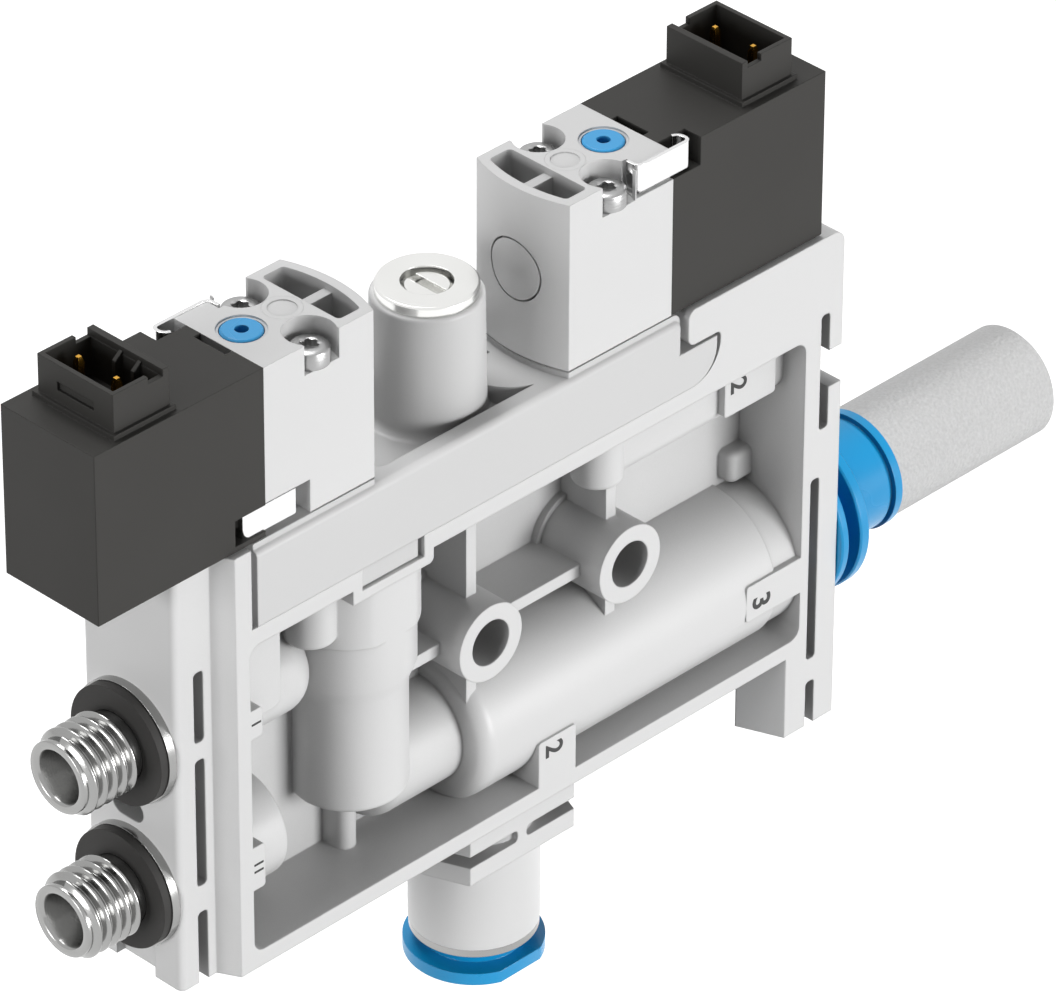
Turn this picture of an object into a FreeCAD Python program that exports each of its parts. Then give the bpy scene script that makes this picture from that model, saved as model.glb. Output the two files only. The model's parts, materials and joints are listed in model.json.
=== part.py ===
import FreeCAD, Part
import math
import os

# Compact vacuum ejector: one ribbed housing moulding that holds a jet nozzle, a receiver
# nozzle and a supply valve, with a valve carrier and two pilot solenoid valves on top.
# Compressed air enters at the left, vacuum is drawn in at the bottom, air leaves at the right.
# Millimetres. X runs along the housing towards the exhaust, -Y is the front, Z is up.
# The origin is the axis of the first mounting bore at the housing's mid-plane.

Vec = FreeCAD.Vector

# Housing frame
THICK = 13.8
LEFT_WALL = 3.0
RIGHT_WALL = 4.16
BOTTOM_RAIL = 1.5
TOP_RAIL = 1.56
WINDOW_LEFT = -25.5
WINDOW_LENGTH = 60.67
WINDOW_BOTTOM = -16.54
WINDOW_HEIGHT = 28.33
WINDOW_CORNER = 1.1
WEB_FRONT = 0.2
WEB_THICK = 1.2
POST_HEIGHT = 7.15
CORNER_IN = 1.6
CORNER_DEEP = 3.1
OUTER_CORNER = 1.2

# End block that carries the two air nipples
BLOCK_OUT = 3.0
BLOCK_WIDTH = 10.2
BLOCK_CORNER = 0.6
FOOT_WIDTH = 2.95
FOOT_RECESS = 0.85
FOOT_HEIGHT = 4.5
LEFT_SLOT_IN = 1.17
SLOT_WIDTH = 1.0
SLOT_DEPTH = 4.0
LEFT_SLOT_DEPTH = 3.0
SLOT_END = 0.35
LEFT_SLOT_DOWN = 1.19
LEFT_SLOT_HIGH = 6.4
LEFT_SLOT_BRIDGE = 1.6
LEFT_SLOT_FOOT = 5.04
LEFT_SLOT_FOOT_BRIDGE = 2.45
KEY_HOLE_R = 0.95
KEY_HOLE_DEEP = 3.0
KEY_HOLE_FRONT = 0.3
KEY_HOLE_BACK = 1.2

# Clip legs and slots at the exhaust end
LEG_DEPTH = 4.0
LEG_DROP = 7.71
LEG_IN = 1.47
LEG_LEAN = 1.6
STILE = 1.73
STRIP_LOW = 2.23
STRIP_GAP_DOWN = 2.09
STRIP_GAP = 3.45
STRIP_SLOT_UP = 1.51
STRIP_SLOT_DOWN = 9.24
STRIP_BRIDGE = 4.45
STRIP_FOOT_BRIDGE = 1.26
STRIP_FOOT_SLOT = 3.46

# Mounting bores and their ribs
BORE_R = 2.0
BORE_PITCH = 15.4
BOSS_R = 3.4
BOSS_ROOT_R = 3.9
BOSS_ROOT = 0.6
RIB_THICK = 1.1
RIB_DEPTH = 4.75

# Ejector tube inside the window
TUBE_LEFT = -0.85
TUBE_Z = -10.67
TUBE_STEP = 2.87
TUBE_STEP_DEEP = 0.25
NECK_R = 4.67
NECK_FILLET = 1.6
NECK_IN = 0.6
NECK_END = 2.0
JET_Z = -9.8
JET_BORE_R = 4.6
JET_BORE_LEFT = 0.5

# Supply valve chamber
CHAMBER_X = -10.14
CHAMBER_R = 4.73
CHAMBER_MID_R = 5.4
CHAMBER_TOP_R = 5.7
CHAMBER_BOTTOM = -10.55
CHAMBER_STEP_Z = -0.5
CHAMBER_STEP = 1.8
CHAMBER_HEAD_DOWN = 6.4
CHAMBER_EDGE = 0.5
CHAMBER_FLAT = 0.12
CHAMBER_BORE_R = 3.6
OUTLET_BORE_R = 2.4
SEAT_Z = 0.0
OUTLET_FLOOR = 1.04
JET_FEED_CLEAR = 0.2
JET_FEED_IN = 0.6

# Valve carrier plate
PLATE_GAP = 0.6
PLATE_INSET = 0.3
PLATE_END_IN = 10.27
PLATE_END_GAP = 0.4
PLATE_EDGE = 0.6
PLATE_CORNER = 2.8
PLATE_HEIGHT = 6.7
PEDESTAL_RISE = 0.5
HOOK_LENGTH = 3.65
HOOK_UP = 3.9
HOOK_GAP = 0.55
HOOK_UNDER = 0.3
HOOK_EDGE = 0.5
HOOK_CORNER = 0.8
TAB_LEFT = -13.7
TAB_LENGTH = 6.15
TAB_DROP = 1.95
TAB_DEPTH = 4.0
TAB_SIDE_GAP = 0.4
TAB_BACK_SET = 0.3
TAB_CLEAR = 0.1
DIP_MARGIN = 1.0
DIP_WALL = 0.9
DIP_CORNER = 0.5
DECK_POCKET_DEEP = 1.6
DECK_POCKET_RIM = 1.75
DECK_POCKET_GAP = 0.6
DECK_POCKET_CORNER = 1.0
ROUND_PAD_R = 4.1
ROUND_PAD_OUT = 0.37
ROUND_PAD_Y = 0.26
ROUND_PAD_BACK = 1.91

# Adjuster dome on the carrier
DOME_R = 4.7
DOME_TOP_R = 4.46
DOME_HEIGHT = 15.79
DOME_FOOT = 0.8
DOME_EDGE = 0.3
DOME_OFF = 1.56
DISC_R = 4.07
DISC_THICK = 0.86
DISC_HOLE_R = 2.09
DISC_EDGE = 0.15
DISC_SEAT = 0.1
DISC_LEAD = 0.3
INSERT_R = 3.0
INSERT_DEPTH = 5.0
SCREW_R = 1.75
SCREW_LENGTH = 7.0
SCREW_RECESS = 0.35
SLOT_TOOL_WIDTH = 0.9
SLOT_TOOL_DEPTH = 0.9
SCREW_TIP_R = 0.9
SCREW_TIP = 1.0
SCREW_POINT_R = 0.3
SCREW_LAND = 0.4
SCREW_GROOVE = 0.8
SCREW_BORE_SPARE = 1.0
SCREW_TRAVEL = 1.5
ADJUSTER_BORE_R = 1.85
SCREW_NECK_R = 1.2
SCREW_SEAL_R = 1.78
SCREW_SEAL_CLEAR = 0.03

# Pilot solenoid valve: measured from the joint between coil and body
VALVE_WIDTH = 10.0
VALVE_HEIGHT = 14.86
VALVE_MID_Y = -1.46
VALVE_TURN_BACK = 6.975
JUNCTION_IN = 5.25
BODY_LENGTH = 11.3
BODY_BULGE = 1.0
COIL_LENGTH = 16.95
GASKET_THICK = 0.15
GASKET_MARGIN = 1.0
OVERRIDE_IN = 2.56
OVERRIDE_R = 1.68
OVERRIDE_RING_R = 1.97
OVERRIDE_RING_DEEP = 0.15
OVERRIDE_TRAVEL = 0.8
OVERRIDE_SPRING_ROOM = 0.6
OVERRIDE_EDGE = 0.15
OVERRIDE_REST_GAP = 0.1
OVERRIDE_HEAD = 2.6
OVERRIDE_STEM_R = 0.7
OVERRIDE_SOCKET_R = 0.55
OVERRIDE_SOCKET_DEEP = 0.7
DISC_PLUG_IN = 6.74
DISC_PLUG_R = 1.6
DISC_PLUG_RIM = 0.45
DISC_PLUG_DISH = 0.1
DISC_PLUG_DEEP = 1.5
VALVE_SCREW_IN = 5.96
VALVE_SCREW_SIDE = 1.33
POCKET_R = 2.1
VALVE_POCKET_DEEP = 2.6
POCKET_MOUTH = 3.56
VALVE_SCREW_HEAD_R = 1.6
VALVE_SCREW_HEAD = 1.5
VALVE_SCREW_SHANK_R = 0.8
VALVE_SCREW_BITE = 4.0
TORX_R = 0.75
TORX_DEEP = 0.7
CAVITY_IN = 8.56
CAVITY_WALL = 0.86
CAVITY_RIB = 0.9
CAVITY_RIB_DOWN = 0.6
CAVITY_DEEP = 3.0
CAVITY_CORNER = 0.4
END_WALL = 0.85
CAP_DOWN = 7.4
CAP_R = 2.72
CAP_LENGTH = 2.2
CAP_GROOVE = 0.15

# Clips between coil and body
CLIP_THICK = 0.4
CLIP_HOOK = 1.2
CLIP_BEND = 0.5
CLIP_BEND_IN = 0.15
TOP_CLIP_BODY = 3.9
TOP_CLIP_COIL = 2.07
TOP_CLIP_HEIGHT = 2.5
TOP_CLIP_PROUD = 0.1
LOW_CLIP_BODY = 3.6
LOW_CLIP_COIL = 2.2
LOW_CLIP_DOWN = 12.1
LOW_CLIP_HEIGHT = 2.3
CLIP_MARGIN = 0.15
COIL_CLIP_NOTCH = 3.0
BODY_CLIP_NOTCH = 4.6
COIL_LOW_NOTCH = 3.1
COIL_NOTCH = 0.7
COIL_NOTCH_WIDTH = 3.4

# Plug socket on the coil
SOCKET_IN = 2.75
SOCKET_LENGTH = 5.55
SOCKET_SIDE = 0.83
SOCKET_WIDTH = 8.07
SOCKET_HEIGHT = 3.67
SOCKET_WALL = 0.4
SOCKET_KEY_WALL = 0.65
SOCKET_FLOOR_DOWN = 0.3
FLANGE_MARGIN = 0.33
FLANGE_HEIGHT = 0.42
LATCH_WIDTH = 3.9
LATCH_HEIGHT = 0.75
LATCH_UP = 1.4
LATCH_DEEP = 0.25
RIM_NOTCH = 1.5
RIM_NOTCH_IN = 0.6
RIM_NOTCH_DEEP = 0.6
KEY_RIB = 0.35
KEY_RIB_OUT = 0.75
KEY_RIB_FIRST = 2.4
KEY_RIB_PITCH = 2.0
KEY_RIB_DOWN = 0.3
KEY_RIB_SLOPE = 0.6
PIN_IN = 5.1
PIN_SPACING = 4.06
PIN_THICK = 0.6
PIN_TOP = 3.2
PIN_POINT = 0.5
PIN_TIP_SHARE = 0.55
PIN_ROOT = 1.6

# Solenoid drive inside coil and body
DRIVE_R = 1.9
DRIVE_CLEAR = 0.06
WINDING_R = 3.9
WINDING_IN = 2.6
WINDING_LENGTH = 11.5
CORE_LENGTH = 5.5
ARMATURE_LENGTH = 8.6
ARMATURE_STROKE = 0.5
SPRING_POCKET_R = 1.1
SPRING_POCKET_DEEP = 2.5
SPRING_WALL = 0.25
SPRING_CLEAR = 0.1
PAD_R = 1.1
PAD_THICK = 0.7
SEAT_R = 0.9
SEAT_BORE_R = 0.4
SEAT_IN = 2.6
SEAT_HEIGHT = 0.8
SEAT_CLEAR = 0.02
PASSAGE_R = 0.6
PILOT_OUT = 1.5

# Supply piston in the chamber
PISTON_CLEAR = 0.06
PISTON_DOWN = 4.35
PISTON_HEAD = 2.6
PISTON_STROKE = 1.5
PISTON_STEM_R = 1.1
PISTON_DISC = 1.2
PISTON_DISC_R = 2.9
PISTON_SEAT_GAP = 0.3
PISTON_SEAL_GROOVE = 0.5
PISTON_SEAL_HEIGHT = 0.9

# Jet and receiver nozzles
JET_FLANGE = 1.5
JET_TIP_R = 1.5
JET_LENGTH = 7.0
JET_THROAT_R = 0.45
JET_MOUTH_R = 1.1
JET_EXIT_R = 0.65
JET_CONVERGE = 1.2
JET_ROOT = 0.9
JET_TIP = 1.0
JET_TIP_EDGE = 0.3
RECEIVER_LEFT = 10.2
RECEIVER_END_GAP = 2.0
RECEIVER_EDGE = 0.6
RECEIVER_THROAT_IN = 3.0
RECEIVER_THROAT = 3.0
RECEIVER_THROAT_R = 1.0
RECEIVER_MOUTH_R = 2.0
RECEIVER_EXIT_R = 2.4
NOZZLE_CLEAR = 0.05
RECEIVER_SEAL_IN = 3.0
RECEIVER_SEAL_WIDTH = 1.2
RECEIVER_SEAL_DEEP = 0.9

# Vacuum port: collar, push-in cartridge, check valve and filter
VACUUM_X = 5.05
COLLAR_FRONT = 5.4
COLLAR_LEFT = 5.78
COLLAR_RIGHT = 5.85
COLLAR_FLARE = 2.15
COLLAR_DROP = 5.66
COLLAR_SLOT_DOWN = 2.86
COLLAR_SLOT = 1.1
COLLAR_SLOT_WEB = 1.0
COLLAR_SLOT_END = 0.4
COLLAR_CORE_WALL = 0.6
SPIGOT_R = 4.3
SPIGOT_CLEAR = 0.03
SPIGOT_TOP_GAP = 0.2
CHECK_PORT_UP = 0.5
SLEEVE_R = 5.31
SLEEVE_LENGTH = 8.2
SLEEVE_RING = 0.7
SLEEVE_RING_IN = 0.05
TUBE_BORE_R = 3.0
TUBE_STOP_UP = 0.6
TUBE_STOP_LAND = 1.4
TUBE_STOP_LIP = 0.6
TUBE_SEAL_ROOM = 0.9
COLLET_R = 4.2
COLLET_LENGTH = 3.4
COLLET_TOOTH = 0.15
COLLET_BACK = 0.8
COLLET_LIP = 0.4
COLLET_SLOTS = 6
COLLET_SLOT_WIDTH = 0.5
RELEASE_THICK = 1.1
RELEASE_R = 5.74
RELEASE_SIDE = 5.3
RELEASE_GAP = 1.3
RELEASE_TRAVEL = 1.0
RELEASE_FUNNEL = 0.5
RELEASE_REST_GAP = 0.1
RELEASE_CLEAR = 0.06
TUBE_SEAL_THICK = 1.1
FILTER_THICK = 1.4
FILTER_DOWN = 2.6
CHECK_SEAT_Z = -15.8
CHECK_BORE_R = 3.3
CHECK_R = 2.9
CHECK_THICK = 0.8
CHECK_PORT_R = 2.2
CHECK_GUIDE = 2.2
CHECK_VANE = 0.6
CHECK_CLEAR = 0.02
CHECK_GUIDE_CLEAR = 0.08

# Exhaust port, silencer plug and silencer
SOCKET_R = 5.0
SOCKET_DEPTH = 9.13
STEM_R = 4.0
STEM_BORE_R = 2.6
STEM_DEPTH = 8.33
EXHAUST_RING_GAP = 0.1
EXHAUST_RING_THICK = 0.87
EXHAUST_RING_R = 7.55
EXHAUST_WALL = 0.7
EXHAUST_EDGE = 0.15
EXHAUST_REST_GAP = 0.2
EXHAUST_GRIP_CLEAR = 0.02
EXHAUST_GRIP_LIP = 0.35
EXHAUST_GRIP_TOOTH = 0.8
EXHAUST_COLLET_DEPTH = 5.13
EXHAUST_COLLET_LENGTH = 2.2
EXHAUST_SEAL_DEPTH = 7.53
EXHAUST_SEAL_THICK = 1.6
PLUG_FLANGE_OUT = 2.24
PLUG_FLANGE_THICK = 1.07
PLUG_FLANGE_R = 7.6
WAIST_R = 4.95
COLLAR_OUT = 9.77
COLLAR_R = 5.18
COLLAR_GROOVE = 0.45
COLLAR_GROOVE_BACK = 0.8
COLLAR_GROOVE_DEEP = 0.25
STEM_EDGE = 0.4
STEM_LEAD = 0.6
SILENCER_R = 4.97
SILENCER_LENGTH = 18.95
SILENCER_EDGE = 0.35
SILENCER_WALL = 1.6
SILENCER_SPIGOT = 3.0

# Threaded nipples and bonded seal washers
NIPPLE_HIGH_Z = 3.25
NIPPLE_LOW_Z = -10.07
NIPPLE_OUT = 7.48
THREAD_R = 3.5
THREAD_NECK_R = 2.95
THREAD_NECK = 0.2
THREAD_EDGE = 0.3
NIPPLE_TIP_R = 3.03
NIPPLE_TIP = 0.5
NIPPLE_MOUTH = 0.3
NIPPLE_MOUTH_R = 0.2
NIPPLE_BORE_R = 2.175
NIPPLE_ROOT = 6.0
NIPPLE_ROOT_R = 2.95
WASHER_METAL = 0.75
WASHER_RUBBER = 0.75
WASHER_METAL_R = 5.15
WASHER_RUBBER_R = 5.0
WASHER_CLEAR = 0.03
HIGH_BOSS_R = 4.1
HIGH_BOSS_LENGTH = 10.2
HIGH_BOSS_FILLET = 2.5
HIGH_LINK_IN = 3.0
HIGH_LINK_R = 1.9
HIGH_LINK_BORE_R = 1.1
LOW_BOSS_R = 4.7
LOW_BOSS_LENGTH = 5.9
LOW_BOSS_FILLET = 0.4
NIPPLE_BORE_END = 1.6
PILLAR_LENGTH = 4.35
PILLAR_HALF = 5.6
PILLAR_DROP = 7.8
PILLAR_EDGE = 0.8

# Passages that hang from the top rail
STUB_Y = 3.2
STUB_R = 2.1
STUB_DROP = 5.5
STUB_EDGE = 0.6
STUB_FLOOR = 1.0
STUB_BORE_R = 0.8
LEFT_STUB_IN = 9.8
SENSOR_TAB_IN = 7.47
SENSOR_TAB_LENGTH = 5.8
SENSOR_TAB_DROP = 4.69
SENSOR_TAB_FRONT = 5.2
SENSOR_PIPE_R = 1.8
SENSOR_PIPE_DROP = 4.04
SENSOR_PIPE_Y = 2.7
SENSOR_WELL_IN = 4.27
WALL_KEY = 2.35
WALL_KEY_FRONT = 1.3
WALL_KEY_DOWN = 12.49
WALL_KEY_HEIGHT = 2.85
WALL_KEY_EDGE = 0.8
WALL_KEY_TOP_EDGE = 0.6

# Raised tabs beside the ports
TAB_LOW_X = 5.35
TAB_LOW_LENGTH = 4.15
TAB_LOW_TOP = -12.3
TAB_RIGHT_LENGTH = 6.27
TAB_RIGHT_BOTTOM = -12.2
TAB_RIGHT_TOP = -8.8
TAB_HIGH_LENGTH = 1.2
TAB_HIGH_BOTTOM = 3.4
TAB_HIGH_TOP = 6.05
TAB_LAST_LENGTH = 1.25
TAB_LAST_BOTTOM = -10.6
TAB_LAST_TOP = -6.6
TAB_BACK = 3.2
TAB_EDGE = 0.3
FOOT_RIB_LEFT = 1.3
FOOT_RIB_RIGHT = 0.57
FOOT_RIB_DEPTH = 2.2
FOOT_RIB_EDGE = 0.9

# Places that follow from the sizes above
HALF = THICK / 2
WINDOW_RIGHT = WINDOW_LEFT + WINDOW_LENGTH
WINDOW_TOP = WINDOW_BOTTOM + WINDOW_HEIGHT
LEFT_X = WINDOW_LEFT - LEFT_WALL
RIGHT_X = WINDOW_RIGHT + RIGHT_WALL
BOTTOM_Z = WINDOW_BOTTOM - BOTTOM_RAIL
SEAM_Z = WINDOW_TOP + TOP_RAIL
POST_Z = SEAM_Z + POST_HEIGHT
END_X = LEFT_X - BLOCK_OUT
PLATE_LEFT = WINDOW_LEFT + PLATE_INSET + PLATE_GAP
PLATE_RIGHT = WINDOW_RIGHT - PLATE_END_IN
HOOK_Z = SEAM_Z + HOOK_UP
DECK_Z = SEAM_Z + PLATE_HEIGHT
DOME_TOP = SEAM_Z + DOME_HEIGHT
VALVE_TURN_X = (LEFT_X + RIGHT_X) / 2 - VALVE_TURN_BACK
DOME_X = VALVE_TURN_X + DOME_OFF
JUNCTION_X = LEFT_X + JUNCTION_IN
PEDESTAL_Z = DECK_Z + PEDESTAL_RISE
VALVE_Z = PEDESTAL_Z + GASKET_THICK
VALVE_TOP = VALVE_Z + VALVE_HEIGHT
VALVE_FRONT = VALVE_MID_Y - VALVE_WIDTH / 2
VALVE_BACK = VALVE_MID_Y + VALVE_WIDTH / 2
HOOK_X = PLATE_RIGHT + PLATE_END_GAP - HOOK_LENGTH
COLLAR_BOTTOM = BOTTOM_Z - COLLAR_DROP
SLEEVE_BOTTOM = COLLAR_BOTTOM - SLEEVE_LENGTH
RELEASE_TOP = SLEEVE_BOTTOM - SLEEVE_RING - RELEASE_GAP
LEFT_STUB_X = WINDOW_LEFT + LEFT_STUB_IN
RIGHT_STUB_X = BORE_PITCH
SENSOR_WELL_X = WINDOW_RIGHT - SENSOR_WELL_IN
DRIVE_Z = VALVE_TOP - CAP_DOWN
PISTON_TOP = SEAM_Z - PISTON_DOWN
TUBE_R = HALF
SOCKET_LEFT = RIGHT_X - SOCKET_DEPTH
STEM_LEFT = RIGHT_X - STEM_DEPTH
EXHAUST_SEAL_X = RIGHT_X - EXHAUST_SEAL_DEPTH
EXHAUST_COLLET_X = RIGHT_X - EXHAUST_COLLET_DEPTH
EXHAUST_RING_X = RIGHT_X + EXHAUST_RING_GAP
PLUG_FLANGE_X = RIGHT_X + PLUG_FLANGE_OUT
COLLAR_END_X = RIGHT_X + COLLAR_OUT
SILENCER_END_X = COLLAR_END_X + SILENCER_LENGTH
TINY = 0.01
SINK = 0.5
OVER = 1.0
FAR = 60.0


def box(x0, x1, y0, y1, z0, z1):
    return Part.makeBox(x1 - x0, y1 - y0, z1 - z0, Vec(x0, y0, z0))


def rod_x(radius, x0, x1, y, z):
    return Part.makeCylinder(radius, x1 - x0, Vec(x0, y, z), Vec(1, 0, 0))


def rod_y(radius, x, y0, y1, z):
    return Part.makeCylinder(radius, y1 - y0, Vec(x, y0, z), Vec(0, 1, 0))


def rod_z(radius, x, y, z0, z1):
    return Part.makeCylinder(radius, z1 - z0, Vec(x, y, z0), Vec(0, 0, 1))


def ring_z(outer, inner, x, y, z0, z1):
    return rod_z(outer, x, y, z0, z1).cut(rod_z(inner, x, y, z0 - 1, z1 + 1))


def ring_x(outer, inner, x0, x1, y, z):
    return rod_x(outer, x0, x1, y, z).cut(rod_x(inner, x0 - 1, x1 + 1, y, z))


def plate_y(outline, y0, y1):
    points = [Vec(x, y0, z) for x, z in outline]
    face = Part.Face(Part.makePolygon(points + points[:1]))
    return face.extrude(Vec(0, y1 - y0, 0))


def plate_z(outline, z0, z1):
    points = [Vec(x, y, z0) for x, y in outline]
    face = Part.Face(Part.makePolygon(points + points[:1]))
    return face.extrude(Vec(0, 0, z1 - z0))


def turned_x(profile, y, z):
    """A turned piece about a line along X; the profile's points are (x, radius)."""
    points = [Vec(x, y, z + radius) for x, radius in profile]
    face = Part.Face(Part.makePolygon(points + points[:1]))
    return face.revolve(Vec(0, y, z), Vec(1, 0, 0), 360)


def turned_z(profile, x, y):
    """A turned piece about a line along Z; the profile's points are (radius, z)."""
    points = [Vec(x + radius, y, z) for radius, z in profile]
    face = Part.Face(Part.makePolygon(points + points[:1]))
    return face.revolve(Vec(x, y, 0), Vec(0, 0, 1), 360)


def joined(shapes):
    return shapes[0].fuse(shapes[1:]).removeSplitter()


def mirrored(shape):
    return shape.mirror(Vec(0, 0, 0), Vec(0, 1, 0))


def along(edge, axis):
    """True for a straight edge parallel to the axis, given as 0, 1 or 2."""
    if not isinstance(edge.Curve, (Part.Line, Part.LineSegment)):
        return False
    start, end = edge.Vertexes[0].Point, edge.Vertexes[-1].Point
    gap = [abs(end.x - start.x), abs(end.y - start.y), abs(end.z - start.z)]
    others = [gap[i] for i in range(3) if i != axis]
    return gap[axis] > TINY and max(others) < TINY


def softened(shape, radius, axis, near=None):
    """Rounds the straight edges along one axis, or those of them that near accepts."""
    edges = [e for e in shape.Edges if along(e, axis) and (near is None or near(e.CenterOfMass))]
    return shape.makeFillet(radius, edges)


def rims(shape, near):
    """The round edges whose middle the given test accepts."""
    return [e for e in shape.Edges if isinstance(e.Curve, Part.Circle) and near(e.CenterOfMass)]


def window_cut(y0, y1):
    block = box(WINDOW_LEFT, WINDOW_RIGHT, y0, y1, WINDOW_BOTTOM, WINDOW_TOP)
    return softened(block, WINDOW_CORNER, 1)


def frame_blank():
    """The frame's outline with its drawn-in front and back left corners."""
    slant = LEFT_X + CORNER_IN
    plan = [
        (slant, -HALF), (LEFT_X, -HALF + CORNER_DEEP), (LEFT_X, HALF - CORNER_DEEP), (slant, HALF),
        (RIGHT_X, HALF), (RIGHT_X, -HALF),
    ]
    blank = plate_z(plan, BOTTOM_Z, POST_Z)
    blank = softened(blank, OUTER_CORNER, 1, lambda p: p.x > RIGHT_X - OVER and p.z > POST_Z - OVER)
    blank = blank.cut(plate_recess())
    return softened(blank, HOOK_CORNER, 1, lambda p: abs(p.x - HOOK_X) < TINY and p.z > POST_Z - OVER)


def plate_recess():
    """Room for the carrier between the two end posts, under the hook at the right."""
    right = PLATE_RIGHT + PLATE_END_GAP
    left = PLATE_LEFT - PLATE_GAP
    low = box(left, right, -FAR, FAR, SEAM_Z, HOOK_Z)
    low = softened(low, PLATE_CORNER + PLATE_END_GAP, 1, lambda p: p.x > right - OVER and p.z < SEAM_Z + OVER)
    low = softened(low, HOOK_EDGE, 1, lambda p: p.x > right - OVER and p.z > HOOK_Z - TINY)
    high = box(left, HOOK_X, -FAR, FAR, SEAM_Z + PLATE_CORNER, FAR)
    room = joined([low, high])
    return softened(room, HOOK_CORNER, 1, lambda p: abs(p.x - HOOK_X) < TINY and abs(p.z - HOOK_Z) < TINY)


def end_block():
    """The narrower block at the left end, on two feet with a recess between them."""
    half = BLOCK_WIDTH / 2
    block = box(END_X, LEFT_X + OVER, -half, half, BOTTOM_Z, POST_Z)
    block = softened(block, BLOCK_CORNER, 2, lambda p: p.x < END_X + OVER)
    gap = half - FOOT_WIDTH
    recess = box(END_X - OVER, END_X + FOOT_RECESS, -gap, gap, BOTTOM_Z - OVER, BOTTOM_Z + FOOT_HEIGHT)
    return block.cut(recess)


def key_hole():
    """The shallow long hole in the end face between the two nipples."""
    z = (NIPPLE_HIGH_Z + NIPPLE_LOW_Z) / 2
    x0, x1 = END_X - OVER, END_X + KEY_HOLE_DEEP
    front, back = -KEY_HOLE_FRONT, KEY_HOLE_BACK
    hole = [rod_x(KEY_HOLE_R, x0, x1, y, z) for y in (front, back)]
    return hole + [box(x0, x1, front, back, z - KEY_HOLE_R, z + KEY_HOLE_R)]


def side_slots(x0, places, edge, depth):
    """Slots with rounded ends, cut from the front and from the back, between given heights."""
    cuts = []
    for z0, z1 in places:
        slot = box(x0, x0 + SLOT_WIDTH, -edge - OVER, -edge + depth, z0, z1)
        slot = softened(slot, SLOT_END, 1)
        cuts += [slot, mirrored(slot)]
    return cuts


def left_slots():
    """Slots between the end block's strip and the frame, front and back."""
    high_top = WINDOW_TOP - LEFT_SLOT_DOWN
    high_low = high_top - LEFT_SLOT_HIGH
    foot_top = WINDOW_BOTTOM + LEFT_SLOT_FOOT
    places = (
        (high_low, high_top), (foot_top + LEFT_SLOT_FOOT_BRIDGE, high_low - LEFT_SLOT_BRIDGE),
        (BOTTOM_Z - OVER, foot_top),
    )
    return side_slots(LEFT_X - LEFT_SLOT_IN, places, BLOCK_WIDTH / 2, LEFT_SLOT_DEPTH)


def right_legs():
    """Two clip legs below the exhaust end, front and back, their inner sides leaning."""
    left = WINDOW_RIGHT - LEG_IN
    foot = BOTTOM_Z - LEG_DROP
    plan = [
        (left, -HALF), (RIGHT_X, -HALF), (RIGHT_X, -HALF + LEG_DEPTH), (left - LEG_LEAN, -HALF + LEG_DEPTH),
    ]
    leg = plate_z(plan, foot, BOTTOM_Z + OVER)
    return [leg, mirrored(leg)]


def right_slots():
    """Slots between the inner stile and the outer strip, and the gap through the strip."""
    upper = WINDOW_RIGHT + STILE
    lower = RIGHT_X - STRIP_LOW - SLOT_WIDTH
    gap_top = WINDOW_TOP - STRIP_GAP_DOWN
    slot_low = WINDOW_TOP - STRIP_SLOT_DOWN
    low_places = (
        (BOTTOM_Z - STRIP_FOOT_BRIDGE, slot_low - STRIP_BRIDGE),
        (BOTTOM_Z - LEG_DROP - OVER, BOTTOM_Z - STRIP_FOOT_SLOT),
    )
    cuts = [box(upper + TINY, RIGHT_X + OVER, -FAR, FAR, gap_top - STRIP_GAP, gap_top)]
    cuts += side_slots(upper, ((slot_low, WINDOW_TOP + STRIP_SLOT_UP),), HALF, SLOT_DEPTH)
    return cuts + side_slots(lower, low_places, HALF, SLOT_DEPTH)


def collar_plan():
    left, right = VACUUM_X - COLLAR_LEFT, VACUUM_X + COLLAR_RIGHT
    return [
        (left, -COLLAR_FRONT), (right, -COLLAR_FRONT), (right + COLLAR_FLARE, 0),
        (right, COLLAR_FRONT), (left, COLLAR_FRONT), (left - COLLAR_FLARE, 0),
    ]


def vacuum_collar():
    """The collar that holds the push-in cartridge, with clip slots front and back."""
    collar = plate_z(collar_plan(), COLLAR_BOTTOM, BOTTOM_Z + SINK)
    top = BOTTOM_Z - COLLAR_SLOT_DOWN
    half_web = COLLAR_SLOT_WEB / 2
    core = rod_z(SPIGOT_R + COLLAR_CORE_WALL, VACUUM_X, 0, COLLAR_BOTTOM - OVER, BOTTOM_Z + OVER)
    for x0, x1 in ((-FAR, VACUUM_X - half_web), (VACUUM_X + half_web, FAR)):
        slot = box(x0, x1, -FAR, FAR, top - COLLAR_SLOT, top)
        slot = softened(slot, COLLAR_SLOT_END, 1, lambda p: abs(p.x - VACUUM_X) < OVER)
        collar = collar.cut(slot.cut(core))
    return collar


def tube_body():
    """The thick ejector tube, its end step, and the thinner neck from the chamber."""
    step = WINDOW_RIGHT - TUBE_STEP
    tube = rod_x(TUBE_R, TUBE_LEFT, step, 0, TUBE_Z)
    tube = tube.makeFillet(NECK_FILLET, rims(tube, lambda p: p.x < TUBE_LEFT + OVER))
    end = rod_x(TUBE_R - TUBE_STEP_DEEP, step - OVER, WINDOW_RIGHT + OVER, 0, TUBE_Z)
    neck = rod_x(NECK_R, CHAMBER_X + NECK_IN, TUBE_LEFT + NECK_FILLET + OVER, 0, TUBE_Z)
    neck = neck.makeFillet(NECK_END, rims(neck, lambda p: p.x < CHAMBER_X + OVER))
    return [tube, end, neck]


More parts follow.
